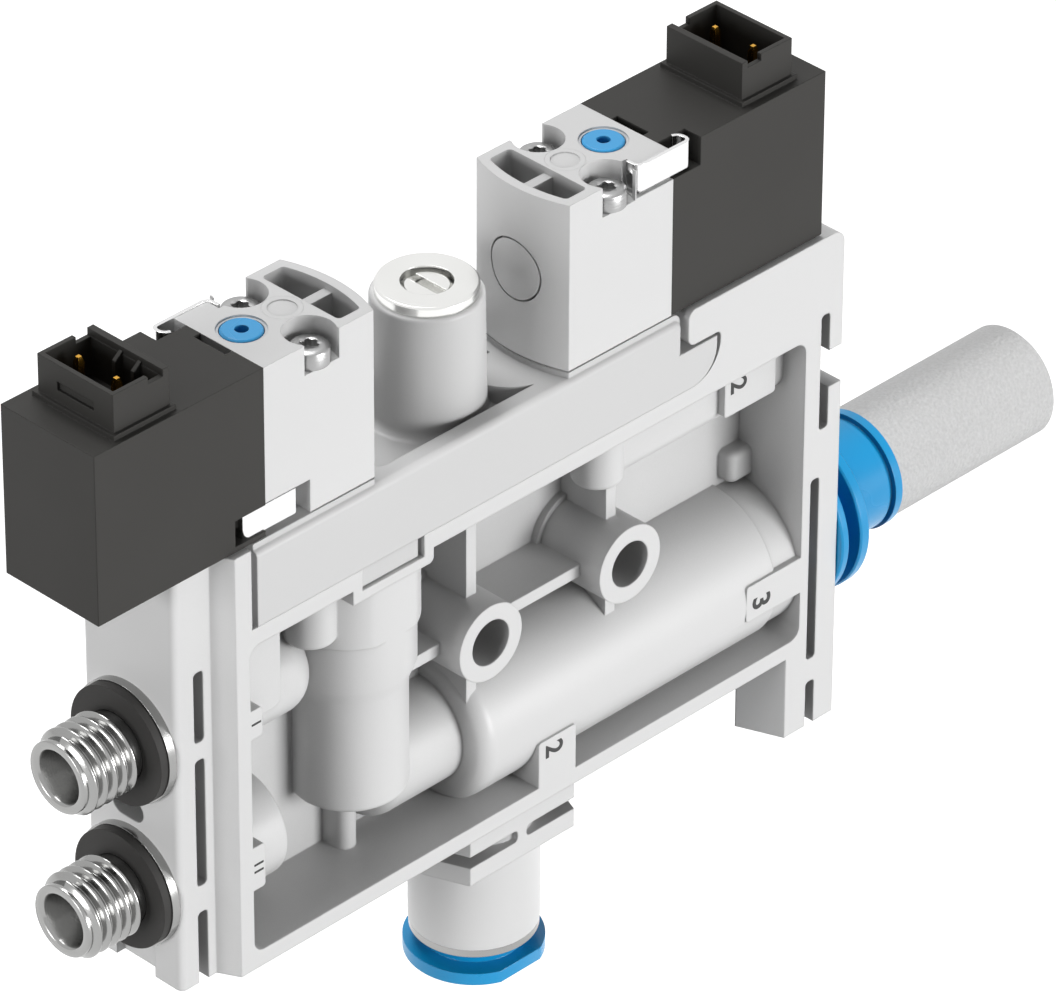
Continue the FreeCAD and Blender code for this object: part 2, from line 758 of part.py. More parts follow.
def chamber_body():
    """The upright supply valve chamber, wider above, with one flat down its front."""
    x, y = CHAMBER_X, VALVE_MID_Y
    mid = CHAMBER_STEP_Z + CHAMBER_STEP
    head = WINDOW_TOP - CHAMBER_HEAD_DOWN
    low = rod_z(CHAMBER_R, x, y, CHAMBER_BOTTOM, CHAMBER_STEP_Z)
    low = low.makeFillet(CHAMBER_EDGE, rims(low, lambda p: p.z < CHAMBER_BOTTOM + TINY))
    cone = Part.makeCone(CHAMBER_R, CHAMBER_MID_R, CHAMBER_STEP, Vec(x, y, CHAMBER_STEP_Z))
    barrel = rod_z(CHAMBER_MID_R, x, y, mid, head)
    top = rod_z(CHAMBER_TOP_R, x, y, head, WINDOW_TOP + SINK)
    flat = box(-FAR, FAR, -FAR, -HALF + CHAMBER_FLAT, -FAR, FAR)
    return [joined([low, cone, barrel, top]).cut(flat)]


def nipple_bosses():
    """Bosses behind the two nipples, with the pillar and the link to the chamber."""
    left = WINDOW_LEFT - OVER
    high_end = WINDOW_LEFT + HIGH_BOSS_LENGTH
    high = rod_x(HIGH_BOSS_R, left, high_end, 0, NIPPLE_HIGH_Z)
    high = high.makeFillet(HIGH_BOSS_FILLET, rims(high, lambda p: p.x > WINDOW_LEFT))
    low = rod_x(LOW_BOSS_R, left, WINDOW_LEFT + LOW_BOSS_LENGTH, 0, NIPPLE_LOW_Z)
    low = low.makeFillet(LOW_BOSS_FILLET, rims(low, lambda p: p.x > WINDOW_LEFT))
    link = rod_x(HIGH_LINK_R, high_end - HIGH_LINK_IN, CHAMBER_X, 0, NIPPLE_HIGH_Z)
    right, bottom = WINDOW_LEFT + PILLAR_LENGTH, WINDOW_TOP - PILLAR_DROP
    pillar = box(left, right, -PILLAR_HALF, PILLAR_HALF, bottom, WINDOW_TOP + SINK)
    pillar = softened(pillar, PILLAR_EDGE, 1, lambda p: p.x > WINDOW_LEFT and p.z < bottom + TINY)
    return [high, low, link, pillar]


def ribs():
    """Upright ribs through the mounting bores and one level rib between them."""
    shapes = []
    half = RIB_THICK / 2
    for x in (0, BORE_PITCH):
        shapes.append(box(x - half, x + half, -RIB_DEPTH, RIB_DEPTH, TUBE_Z, WINDOW_TOP + SINK))
        shapes.append(rod_y(BOSS_R, x, -HALF, HALF, 0))
        shapes.append(rod_y(BOSS_ROOT_R, x, WEB_FRONT - BOSS_ROOT, WEB_FRONT + WEB_THICK + BOSS_ROOT, 0))
    shapes.append(box(CHAMBER_X, BORE_PITCH, -RIB_DEPTH, RIB_DEPTH, -half, half))
    foot = box(
        CHAMBER_X - FOOT_RIB_LEFT, CHAMBER_X + FOOT_RIB_RIGHT, -FOOT_RIB_DEPTH, FOOT_RIB_DEPTH,
        WINDOW_BOTTOM - SINK, CHAMBER_BOTTOM + OVER,
    )
    foot = softened(foot, FOOT_RIB_EDGE, 2)
    key_top = WINDOW_TOP - WALL_KEY_DOWN
    key = box(
        WINDOW_RIGHT - WALL_KEY, WINDOW_RIGHT + SINK, -WALL_KEY_FRONT, WEB_FRONT + SINK,
        key_top - WALL_KEY_HEIGHT, key_top,
    )
    key = softened(key, WALL_KEY_EDGE, 2, lambda p: p.x < WINDOW_RIGHT and p.y < WEB_FRONT)
    key = softened(key, WALL_KEY_TOP_EDGE, 0, lambda p: p.y < WEB_FRONT)
    return shapes + [foot, key]


def hanging_passages():
    """Short stubs under the top rail and the level sensor passage."""
    shapes = []
    low = WINDOW_TOP - STUB_DROP
    for x in (LEFT_STUB_X, RIGHT_STUB_X):
        stub = rod_z(STUB_R, x, -STUB_Y, low, WINDOW_TOP + SINK)
        shapes.append(stub.makeFillet(STUB_EDGE, rims(stub, lambda p: p.z < low + TINY)))
    level = WINDOW_TOP - SENSOR_PIPE_DROP
    right = WINDOW_RIGHT + SINK
    shapes.append(rod_x(SENSOR_PIPE_R, RIGHT_STUB_X, right, -SENSOR_PIPE_Y, level))
    shapes.append(box(
        RIGHT_STUB_X, right, -SENSOR_PIPE_Y - SENSOR_PIPE_R, WEB_FRONT + SINK, level, WINDOW_TOP + SINK,
    ))
    return shapes


def port_tabs():
    """Plain raised tabs in the front plane beside each port."""
    left, right = WINDOW_LEFT, WINDOW_RIGHT
    sensor = WINDOW_RIGHT - SENSOR_TAB_IN
    sensor_low, top = WINDOW_TOP - SENSOR_TAB_DROP, WINDOW_TOP + SINK
    places = [
        (TAB_LOW_X, TAB_LOW_X + TAB_LOW_LENGTH, HALF, WINDOW_BOTTOM - SINK, TAB_LOW_TOP),
        (right - TAB_RIGHT_LENGTH, right + SINK, HALF, TAB_RIGHT_BOTTOM, TAB_RIGHT_TOP),
        (left - SINK, left + TAB_HIGH_LENGTH, HALF, TAB_HIGH_BOTTOM, TAB_HIGH_TOP),
        (left - SINK, left + TAB_LAST_LENGTH, HALF, TAB_LAST_BOTTOM, TAB_LAST_TOP),
        (sensor, sensor + SENSOR_TAB_LENGTH, SENSOR_TAB_FRONT, sensor_low, top),
    ]
    tabs = [box(x0, x1, -front, -front + TAB_BACK, z0, z1) for x0, x1, front, z0, z1 in places]
    return [softened(tab, TAB_EDGE, 1) for tab in tabs]


def rail_dip():
    """The top rail's dip round the carrier's tab."""
    left = TAB_LEFT - DIP_MARGIN
    right = TAB_LEFT + TAB_LENGTH + TAB_SIDE_GAP + DIP_MARGIN
    low = SEAM_Z - TAB_DROP - DIP_WALL
    dip = box(left, right, -HALF, -HALF + TAB_DEPTH + OVER, low, WINDOW_TOP + SINK)
    return softened(dip, DIP_CORNER, 1, lambda p: p.x > right - TINY and p.z < low + TINY)


def tab_notch():
    return box(
        TAB_LEFT, TAB_LEFT + TAB_LENGTH + TAB_SIDE_GAP, -HALF - OVER, -HALF + TAB_DEPTH + TAB_CLEAR,
        SEAM_Z - TAB_DROP, SEAM_Z + OVER,
    )


def housing_bores():
    """Everything that is drilled or cored out of the moulding."""
    cuts = [rod_y(BORE_R, x, -FAR, FAR, 0) for x in (0, BORE_PITCH)]
    cuts.append(rod_z(CHAMBER_BORE_R, CHAMBER_X, VALVE_MID_Y, SEAT_Z, SEAM_Z + OVER))
    cuts.append(rod_z(OUTLET_BORE_R, CHAMBER_X, VALVE_MID_Y, CHAMBER_BOTTOM + OUTLET_FLOOR, SEAT_Z + OVER))
    feed_left = CHAMBER_X + OUTLET_BORE_R - JET_FEED_IN
    cuts.append(rod_x(JET_MOUTH_R + JET_FEED_CLEAR, feed_left, JET_BORE_LEFT + OVER, 0, JET_Z))
    cuts.append(rod_x(JET_BORE_R, JET_BORE_LEFT, SOCKET_LEFT + OVER, 0, JET_Z))
    cuts.append(rod_x(SOCKET_R, SOCKET_LEFT, RIGHT_X + OVER, 0, JET_Z))
    root_end = END_X + NIPPLE_ROOT
    bore_end = WINDOW_LEFT + LOW_BOSS_LENGTH - NIPPLE_BORE_END
    for z in (NIPPLE_HIGH_Z, NIPPLE_LOW_Z):
        cuts.append(rod_x(NIPPLE_ROOT_R, END_X - OVER, root_end, 0, z))
        cuts.append(rod_x(NIPPLE_BORE_R, root_end - OVER, bore_end, 0, z))
    cuts.append(rod_x(HIGH_LINK_BORE_R, root_end, CHAMBER_X, 0, NIPPLE_HIGH_Z))
    cuts.append(rod_z(CHECK_BORE_R, VACUUM_X, 0, CHECK_SEAT_Z, JET_Z))
    cuts.append(rod_z(CHECK_PORT_R, VACUUM_X, 0, BOTTOM_Z - CHECK_PORT_UP, CHECK_SEAT_Z + OVER))
    cuts.append(rod_z(SPIGOT_R, VACUUM_X, 0, COLLAR_BOTTOM - OVER, spigot_top()))
    for x in (LEFT_STUB_X, RIGHT_STUB_X):
        cuts.append(rod_z(STUB_BORE_R, x, -STUB_Y, WINDOW_TOP - STUB_DROP + STUB_FLOOR, SEAM_Z + OVER))
    level = WINDOW_TOP - SENSOR_PIPE_DROP
    cuts.append(rod_x(STUB_BORE_R, RIGHT_STUB_X, SENSOR_WELL_X, -SENSOR_PIPE_Y, level))
    return cuts + key_hole()


def housing():
    """The ribbed open moulding: a flanged frame round a thin web, with tubes and bosses."""
    windows = [window_cut(-FAR, WEB_FRONT), window_cut(WEB_FRONT + WEB_THICK, FAR)]
    blank = frame_blank().cut(windows)
    inside = tube_body() + chamber_body() + nipple_bosses() + ribs() + hanging_passages() + port_tabs()
    room = box(WINDOW_LEFT - OVER, WINDOW_RIGHT + OVER, -HALF, HALF, BOTTOM_Z, SEAM_Z)
    details = [shape.common(room) for shape in inside + [rail_dip()]]
    solid = blank
    for shape in details + [end_block(), vacuum_collar()] + right_legs():
        solid = solid.fuse(shape)
    return solid.cut(left_slots() + right_slots() + [tab_notch()] + housing_bores())


def top_plate():
    """The valve carrier: a plate between the posts with two pedestals and the dome."""
    hook_side = HOOK_X - HOOK_GAP
    low = box(PLATE_LEFT, PLATE_RIGHT, -HALF, HALF, SEAM_Z, HOOK_Z - HOOK_UNDER)
    low = softened(low, PLATE_CORNER, 1, lambda p: p.x > PLATE_RIGHT - OVER and p.z < SEAM_Z + OVER)
    high = box(PLATE_LEFT, hook_side, -HALF, HALF, SEAM_Z + PLATE_CORNER, DECK_Z)
    high = softened(high, HOOK_CORNER, 1, lambda p: p.x > hook_side - TINY and p.z > DECK_Z - TINY)
    high = softened(high, PLATE_EDGE, 0, lambda p: p.z > DECK_Z - TINY)
    plate = low.fuse(high).cut(deck_pockets())
    tab = box(
        TAB_LEFT, TAB_LEFT + TAB_LENGTH, -HALF + TAB_BACK_SET, -HALF + TAB_DEPTH,
        SEAM_Z - TAB_DROP + TAB_CLEAR, SEAM_Z + OVER,
    )
    solid = joined([plate, tab] + adjuster_dome() + valve_pads(hook_side))
    return solid.cut(plate_bores())


def valve_pads(hook_side):
    """The two low pads that follow the valves' outline, the right one cut off at the hook."""
    body_end = BODY_LENGTH + BODY_BULGE
    left = box(PLATE_LEFT, JUNCTION_X + body_end, VALVE_FRONT, VALVE_BACK, DECK_Z - OVER, PEDESTAL_Z)
    left = left.common(body_plan(DECK_Z - OVER, PEDESTAL_Z, PLATE_LEFT))
    right = turned_valve(left).common(box(-FAR, hook_side, -FAR, FAR, -FAR, FAR))
    right = softened(right, HOOK_CORNER, 1, lambda p: p.x > hook_side - TINY and p.z > PEDESTAL_Z - TINY)
    return [left, right]


def adjuster_dome():
    """The tapered dome and the round cove at its foot."""
    base, floor = SEAM_Z + OVER, DECK_Z - DECK_POCKET_DEEP
    dome = Part.makeCone(DOME_R, DOME_TOP_R, DOME_TOP - base, Vec(DOME_X, 0, base))
    dome = dome.makeFillet(DOME_EDGE, rims(dome, lambda p: p.z > DOME_TOP - TINY))
    cove_top = floor + DOME_FOOT
    side = DOME_R - (DOME_R - DOME_TOP_R) * (cove_top - base) / (DOME_TOP - base)
    cove = rod_z(side + DOME_FOOT, DOME_X, 0, floor - SINK, cove_top)
    return [dome, cove.cut(Part.makeTorus(side + DOME_FOOT, DOME_FOOT, Vec(DOME_X, 0, cove_top)))]


def deck_pockets():
    """Lowered pockets between the valves and beside the dome, inside a narrow rim."""
    left = JUNCTION_X + BODY_LENGTH + BODY_BULGE + DECK_POCKET_GAP
    right = 2 * VALVE_TURN_X - left
    rim = HALF - DECK_POCKET_RIM
    pocket = box(left, right, -rim, rim, DECK_Z - DECK_POCKET_DEEP, DECK_Z + OVER)
    pocket = softened(pocket, DECK_POCKET_CORNER, 2)
    pad = rod_z(ROUND_PAD_R, right + ROUND_PAD_OUT, VALVE_MID_Y + ROUND_PAD_Y, -FAR, FAR)
    pad = pad.common(box(-FAR, FAR, -FAR, VALVE_MID_Y + ROUND_PAD_BACK, -FAR, FAR))
    return [pocket.cut(pad)]


def plate_bores():
    """Adjuster bore, pilot passages and pressure chamber roof in the carrier."""
    screw_low = screw_bottom() - SCREW_TRAVEL - SCREW_BORE_SPARE
    cuts = [rod_z(INSERT_R, DOME_X, 0, DOME_TOP - INSERT_DEPTH, DOME_TOP + OVER)]
    cuts.append(rod_z(ADJUSTER_BORE_R, DOME_X, 0, screw_low, DOME_TOP))
    cuts.append(rod_z(PASSAGE_R, DOME_X, 0, SEAM_Z - OVER, screw_low + OVER))
    for x in pilot_ports():
        cuts.append(rod_z(PASSAGE_R, x, VALVE_MID_Y, SEAM_Z - OVER, PEDESTAL_Z + OVER))
    for x, y in valve_screw_places():
        cuts.append(rod_z(VALVE_SCREW_SHANK_R, x, y, PEDESTAL_Z - VALVE_SCREW_BITE, PEDESTAL_Z + OVER))
    return cuts


def pilot_ports():
    """Where the two pilot passages meet the carrier, one under each valve."""
    left = JUNCTION_X + SEAT_IN + SEAT_HEIGHT + PILOT_OUT
    return [left, 2 * VALVE_TURN_X - left]


def valve_screw_places():
    places = []
    x = JUNCTION_X + VALVE_SCREW_IN
    for y in (VALVE_FRONT + VALVE_SCREW_SIDE, VALVE_BACK - VALVE_SCREW_SIDE):
        places.append((x, y))
        places.append((2 * VALVE_TURN_X - x, 2 * VALVE_MID_Y - y))
    return places


def turned_valve(shape):
    """The right valve is the left one turned half round about an upright line."""
    turned = shape.copy()
    turned.rotate(Vec(VALVE_TURN_X, VALVE_MID_Y, 0), Vec(0, 0, 1), 180)
    return turned


def body_plan(z0, z1, left=JUNCTION_X):
    """A block with the valve body's bulged end, from the given left side."""
    side = JUNCTION_X + BODY_LENGTH
    tip = side + BODY_BULGE
    front, back = Vec(side, VALVE_FRONT, z0), Vec(side, VALVE_BACK, z0)
    arc = Part.Arc(front, Vec(tip, VALVE_MID_Y, z0), back).toShape()
    edges = [
        Part.makeLine(Vec(left, VALVE_FRONT, z0), front), arc,
        Part.makeLine(back, Vec(left, VALVE_BACK, z0)),
        Part.makeLine(Vec(left, VALVE_BACK, z0), Vec(left, VALVE_FRONT, z0)),
    ]
    return Part.Face(Part.Wire(edges)).extrude(Vec(0, 0, z1 - z0))


def bulged_end(inset, z0, z1):
    """A block inside the bulged end, drawn in from the sides and the end by the inset."""
    scaled = body_plan(z0, z1)
    scaled.translate(Vec(-inset, 0, 0))
    keep = box(-FAR, FAR, VALVE_FRONT + CAVITY_WALL, VALVE_BACK - CAVITY_WALL, -FAR, FAR)
    return scaled.common(keep)


def valve_body():
    """The pale valve body: straight sides, a bulged end, screw pockets and an end pocket."""
    solid = body_plan(VALVE_Z, VALVE_TOP)
    x = JUNCTION_X
    cuts = [
        rod_z(OVERRIDE_RING_R, x + OVERRIDE_IN, VALVE_MID_Y, VALVE_TOP - OVERRIDE_RING_DEEP, FAR),
        rod_z(OVERRIDE_R + DRIVE_CLEAR, x + OVERRIDE_IN, VALVE_MID_Y, override_floor(), FAR),
        rod_z(OVERRIDE_STEM_R + DRIVE_CLEAR, x + OVERRIDE_IN, VALVE_MID_Y, DRIVE_Z, FAR),
        rod_z(DISC_PLUG_R, x + DISC_PLUG_IN, VALVE_MID_Y, VALVE_TOP - DISC_PLUG_DEEP, FAR),
        rod_x(DRIVE_R + DRIVE_CLEAR, x - OVER, x + SEAT_IN + SEAT_HEIGHT, VALVE_MID_Y, DRIVE_Z),
        rod_x(CAP_R, x + BODY_LENGTH + BODY_BULGE - CAP_LENGTH, FAR, VALVE_MID_Y, DRIVE_Z),
    ]
    cuts += screw_pockets() + [end_cavity()] + body_clip_notches() + valve_passages()
    seat_end = x + SEAT_IN + SEAT_HEIGHT + SINK
    seat = ring_x(SEAT_R, SEAT_BORE_R, x + SEAT_IN, seat_end, VALVE_MID_Y, DRIVE_Z)
    return solid.cut(cuts).fuse(seat).removeSplitter()


def override_floor():
    return VALVE_TOP - OVERRIDE_HEAD - OVERRIDE_TRAVEL - OVERRIDE_SPRING_ROOM


def screw_pockets():
    """Round pockets for the two valve screws, each open to the side it is near."""
    cuts = []
    floor = VALVE_TOP - VALVE_POCKET_DEEP
    x = JUNCTION_X + VALVE_SCREW_IN
    front, back = VALVE_FRONT + VALVE_SCREW_SIDE, VALVE_BACK - VALVE_SCREW_SIDE
    for y, mouth0, mouth1 in ((front, VALVE_FRONT - OVER, front), (back, back, VALVE_BACK + OVER)):
        cuts.append(rod_z(POCKET_R, x, y, floor, FAR))
        cuts.append(box(x - POCKET_MOUTH / 2, x + POCKET_MOUTH / 2, mouth0, mouth1, floor, FAR))
        cuts.append(rod_z(VALVE_SCREW_SHANK_R, x, y, VALVE_Z - OVER, FAR))
    return cuts


def end_cavity():
    """The open pocket in the bulged end, with a lower rib down its middle."""
    start = JUNCTION_X + CAVITY_IN
    room = bulged_end(END_WALL, VALVE_TOP - CAVITY_DEEP, VALVE_TOP + OVER)
    room = room.common(box(start, FAR, -FAR, FAR, -FAR, FAR))
    room = softened(room, CAVITY_CORNER, 2)
    half = CAVITY_RIB / 2
    rib = box(start - OVER, FAR, VALVE_MID_Y - half, VALVE_MID_Y + half, -FAR, VALVE_TOP - CAVITY_RIB_DOWN)
    return room.cut(rib)


def clip_depth():
    return CLIP_THICK + CLIP_HOOK + CLIP_MARGIN


def body_clip_notches():
    """Recesses in the body for the upper clip at the back and the lower one in front."""
    x = JUNCTION_X
    upper = box(
        x - OVER, x + TOP_CLIP_BODY + CLIP_MARGIN, VALVE_BACK - CLIP_THICK, VALVE_BACK + OVER,
        VALVE_TOP - TOP_CLIP_HEIGHT, FAR,
    )
    hook = box(
        x + TOP_CLIP_BODY - CLIP_THICK - CLIP_MARGIN, x + TOP_CLIP_BODY + CLIP_MARGIN,
        VALVE_BACK - clip_depth(), VALVE_BACK + OVER, VALVE_TOP - TOP_CLIP_HEIGHT, FAR,
    )
    lower = box(
        x - OVER, x + BODY_CLIP_NOTCH, VALVE_FRONT - OVER, VALVE_FRONT + clip_depth(),
        VALVE_Z - OVER, VALVE_TOP - LOW_CLIP_DOWN + CLIP_MARGIN,
    )
    return [upper, hook, lower]


def valve_passages():
    """The pilot passage from the seat down through the valve's foot."""
    x = pilot_ports()[0]
    seat = JUNCTION_X + SEAT_IN
    bore = rod_x(SEAT_BORE_R, seat - OVER, x, VALVE_MID_Y, DRIVE_Z)
    down = rod_z(PASSAGE_R, x, VALVE_MID_Y, VALVE_Z - OVER, DRIVE_Z)
    return [bore, down]


def coil_housing():
    """The dark coil moulding with the plug socket on top."""
    end = JUNCTION_X - COIL_LENGTH
    x = JUNCTION_X
    block = box(end, x, VALVE_FRONT, VALVE_BACK, VALVE_Z, VALVE_TOP)
    winding_end = x - WINDING_IN - WINDING_LENGTH
    notch_half = COIL_NOTCH_WIDTH / 2
    low_hook = x - LOW_CLIP_COIL + CLIP_THICK + CLIP_MARGIN
    cuts = [
        box(
            x - COIL_CLIP_NOTCH, x + OVER, VALVE_BACK - clip_depth(), VALVE_BACK + OVER,
            VALVE_TOP - TOP_CLIP_HEIGHT, FAR,
        ),
        box(
            x - COIL_LOW_NOTCH, x + OVER, VALVE_FRONT - OVER, VALVE_FRONT + CLIP_THICK,
            low_clip_bottom(), low_clip_top(),
        ),
        box(
            x - COIL_LOW_NOTCH, low_hook, VALVE_FRONT - OVER, VALVE_FRONT + clip_depth(),
            low_clip_bottom(), low_clip_top(),
        ),
        box(
            x - COIL_NOTCH, x + OVER, VALVE_MID_Y - notch_half, VALVE_MID_Y + notch_half,
            VALVE_TOP - OVER, FAR,
        ),
        rod_x(DRIVE_R + DRIVE_CLEAR, winding_end - OVER, x + OVER, VALVE_MID_Y, DRIVE_Z),
        rod_x(WINDING_R, winding_end, x - WINDING_IN, VALVE_MID_Y, DRIVE_Z),
    ]
    cuts += pin_pair() + [socket_room(end)]
    return block.fuse([plug_socket(end)]).cut(cuts).fuse(key_ribs(end)).removeSplitter()


def socket_floor():
    return VALVE_TOP - SOCKET_FLOOR_DOWN


def socket_room(end):
    x0, x1 = end + SOCKET_IN + SOCKET_WALL, end + SOCKET_IN + SOCKET_LENGTH - SOCKET_KEY_WALL
    y0 = VALVE_FRONT + SOCKET_SIDE + SOCKET_WALL
    return box(x0, x1, y0, y0 + SOCKET_WIDTH - 2 * SOCKET_WALL, socket_floor(), FAR)


def key_ribs(end):
    """Two upright key ribs with sloped tops on the socket wall nearest the valve body."""
    wall = end + SOCKET_IN + SOCKET_LENGTH - SOCKET_KEY_WALL
    tip = wall - KEY_RIB_OUT
    low, top = socket_floor() - TINY, VALVE_TOP + SOCKET_HEIGHT - KEY_RIB_DOWN
    outline = [(wall + TINY, low), (tip, low), (tip, top - KEY_RIB_SLOPE), (wall + TINY, top)]
    first = VALVE_FRONT + SOCKET_SIDE + KEY_RIB_FIRST - KEY_RIB / 2
    return [plate_y(outline, y, y + KEY_RIB) for y in (first, first + KEY_RIB_PITCH)]


def plug_socket(end):
    """A rectangular shroud on a low flange, with a latch recess and rim notches."""
    x0, x1 = end + SOCKET_IN, end + SOCKET_IN + SOCKET_LENGTH
    y0, y1 = VALVE_FRONT + SOCKET_SIDE, VALVE_FRONT + SOCKET_SIDE + SOCKET_WIDTH
    top = VALVE_TOP + SOCKET_HEIGHT
    m = FLANGE_MARGIN
    flange = box(x0 - m, x1 + m, y0 - m, y1 + m, VALVE_TOP - SINK, VALVE_TOP + FLANGE_HEIGHT)
    shroud = box(x0, x1, y0, y1, VALVE_TOP - SINK, top)
    mid = (y0 + y1) / 2
    latch_low = VALVE_TOP + LATCH_UP
    notch_right = x1 - RIM_NOTCH_IN
    latch = box(
        x0 - OVER, x0 + LATCH_DEEP, mid - LATCH_WIDTH / 2, mid + LATCH_WIDTH / 2,
        latch_low, latch_low + LATCH_HEIGHT,
    )
    notches = box(notch_right - RIM_NOTCH, notch_right, -FAR, FAR, top - RIM_NOTCH_DEEP, FAR)
    return flange.fuse(shroud).cut([latch, notches])


def square(x, y, half, z):
    points = [Vec(x - half, y - half, z), Vec(x + half, y - half, z), Vec(x + half, y + half, z)]
    points.append(Vec(x - half, y + half, z))
    return Part.makePolygon(points + points[:1])


def pin_pair():
    """Two square pins with blunt pointed tips, rooted in the coil moulding."""
    x = JUNCTION_X - COIL_LENGTH + PIN_IN
    half = PIN_THICK / 2
    tip = VALVE_TOP + PIN_TOP
    shoulder = tip - PIN_POINT
    pins = []
    for side in (-1, 1):
        y = VALVE_MID_Y + side * PIN_SPACING / 2
        shaft = box(x - half, x + half, y - half, y + half, VALVE_TOP - PIN_ROOT, shoulder)
        outlines = [square(x, y, half, shoulder), square(x, y, half * PIN_TIP_SHARE, tip)]
        pins.append(shaft.fuse(Part.makeLoft(outlines, True, True)).removeSplitter())
    return pins


def low_clip_top():
    return VALVE_TOP - LOW_CLIP_DOWN


def low_clip_bottom():
    return low_clip_top() - LOW_CLIP_HEIGHT


def spring_clip(x0, x1, outer, inward, z0, z1):
    """A flat strip with both ends bent inward; inward is +1 or -1 along Y."""
    def slab(xa, xb, depth):
        y0, y1 = sorted((outer, outer + inward * depth))
        return box(xa, xb, y0, y1, z0, z1)
    long = CLIP_THICK + CLIP_HOOK
    hooks = [slab(x0, x0 + CLIP_THICK, long), slab(x1 - CLIP_THICK, x1, long)]
    clip = joined([slab(x0, x1, CLIP_THICK)] + hooks)
    inner = outer + inward * CLIP_THICK
    clip = softened(clip, CLIP_BEND, 2, lambda p: abs(p.y - outer) < TINY)
    return softened(clip, CLIP_BEND_IN, 2, lambda p: abs(p.y - inner) < TINY)


def clips():
    """The two stainless clips that tie coil to body, upper at the back, lower in front."""
    x = JUNCTION_X
    upper = spring_clip(
        x - TOP_CLIP_COIL, x + TOP_CLIP_BODY, VALVE_BACK, -1,
        VALVE_TOP - TOP_CLIP_HEIGHT, VALVE_TOP + TOP_CLIP_PROUD,
    )
    lower = spring_clip(
        x - LOW_CLIP_COIL, x + LOW_CLIP_BODY, VALVE_FRONT, 1, low_clip_bottom(), low_clip_top(),
    )
    return Part.makeCompound([upper, lower])


def valve_gasket():
    m = GASKET_MARGIN
    sheet = box(
        JUNCTION_X + BODY_CLIP_NOTCH + m, JUNCTION_X + BODY_LENGTH - m, VALVE_FRONT + m, VALVE_BACK - m,
        PEDESTAL_Z, VALVE_Z,
    )
    cuts = [rod_z(PASSAGE_R, pilot_ports()[0], VALVE_MID_Y, -FAR, FAR)]
    cuts += [rod_z(VALVE_SCREW_SHANK_R, x, y, -FAR, FAR) for x, y in valve_screw_places()]
    return sheet.cut(cuts)


def valve_screws():
    screws = []
    seat = VALVE_TOP - VALVE_POCKET_DEEP
    for x, y in valve_screw_places():
        if x > VALVE_TURN_X:
            continue
        head = rod_z(VALVE_SCREW_HEAD_R, x, y, seat, seat + VALVE_SCREW_HEAD)
        shank = rod_z(VALVE_SCREW_SHANK_R, x, y, PEDESTAL_Z - VALVE_SCREW_BITE, seat + SINK)
        socket = rod_z(TORX_R, x, y, seat + VALVE_SCREW_HEAD - TORX_DEEP, FAR)
        screws.append(head.fuse(shank).cut(socket).removeSplitter())
    return Part.makeCompound(screws)


def override_button():
    """The push button: a head with a small socket and a stem down towards the armature."""
    x = JUNCTION_X + OVERRIDE_IN
    top = VALVE_TOP
    head = rod_z(OVERRIDE_R, x, VALVE_MID_Y, top - OVERRIDE_HEAD, top)
    head = head.makeChamfer(OVERRIDE_EDGE, rims(head, lambda p: p.z > top - TINY))
    stem_low = DRIVE_Z + DRIVE_R + OVERRIDE_TRAVEL + OVERRIDE_REST_GAP
    stem = rod_z(OVERRIDE_STEM_R, x, VALVE_MID_Y, stem_low, top - OVERRIDE_HEAD + SINK)
    socket = rod_z(OVERRIDE_SOCKET_R, x, VALVE_MID_Y, top - OVERRIDE_SOCKET_DEEP, FAR)
    return head.fuse(stem).cut(socket).removeSplitter()


def override_spring():
    x = JUNCTION_X + OVERRIDE_IN
    inner = OVERRIDE_STEM_R + SPRING_CLEAR
    outer = inner + SPRING_WALL
    return ring_z(outer, inner, x, VALVE_MID_Y, override_floor(), VALVE_TOP - OVERRIDE_HEAD)


def disc_plug():
    """The flush round plug in the valve's top: a flat rim round a shallow dish."""
    x = JUNCTION_X + DISC_PLUG_IN
    core = rod_z(DISC_PLUG_R, x, VALVE_MID_Y, VALVE_TOP - DISC_PLUG_DEEP, VALVE_TOP)
    dish = rod_z(DISC_PLUG_R - DISC_PLUG_RIM, x, VALVE_MID_Y, VALVE_TOP - DISC_PLUG_DISH, FAR)
    return core.cut(dish)


def end_cap():
    """The round cap in the bulged end, flush with it but for a fine groove."""
    tip = JUNCTION_X + BODY_LENGTH + BODY_BULGE
    left = tip - CAP_LENGTH
    cap = rod_x(CAP_R - CAP_GROOVE, left, tip + OVER, VALVE_MID_Y, DRIVE_Z)
    base = rod_x(CAP_R, left, left + CAP_LENGTH / 2, VALVE_MID_Y, DRIVE_Z)
    return cap.common(body_plan(VALVE_Z, VALVE_TOP)).fuse(base).removeSplitter()


def coil_winding():
    x = JUNCTION_X - WINDING_IN
    return ring_x(WINDING_R, DRIVE_R + DRIVE_CLEAR, x - WINDING_LENGTH, x, VALVE_MID_Y, DRIVE_Z)


def armature_tail():
    """The X of the armature's spring end at rest."""
    return JUNCTION_X + SEAT_IN - SEAT_CLEAR - PAD_THICK - ARMATURE_LENGTH


def fixed_core():
    face = armature_tail() - ARMATURE_STROKE - SPRING_CLEAR
    return rod_x(DRIVE_R + DRIVE_CLEAR, face - CORE_LENGTH, face, VALVE_MID_Y, DRIVE_Z)


def armature():
    tail = armature_tail()
    plunger = rod_x(DRIVE_R, tail, tail + ARMATURE_LENGTH, VALVE_MID_Y, DRIVE_Z)
    return plunger.cut(rod_x(SPRING_POCKET_R, tail - OVER, tail + SPRING_POCKET_DEEP, VALVE_MID_Y, DRIVE_Z))


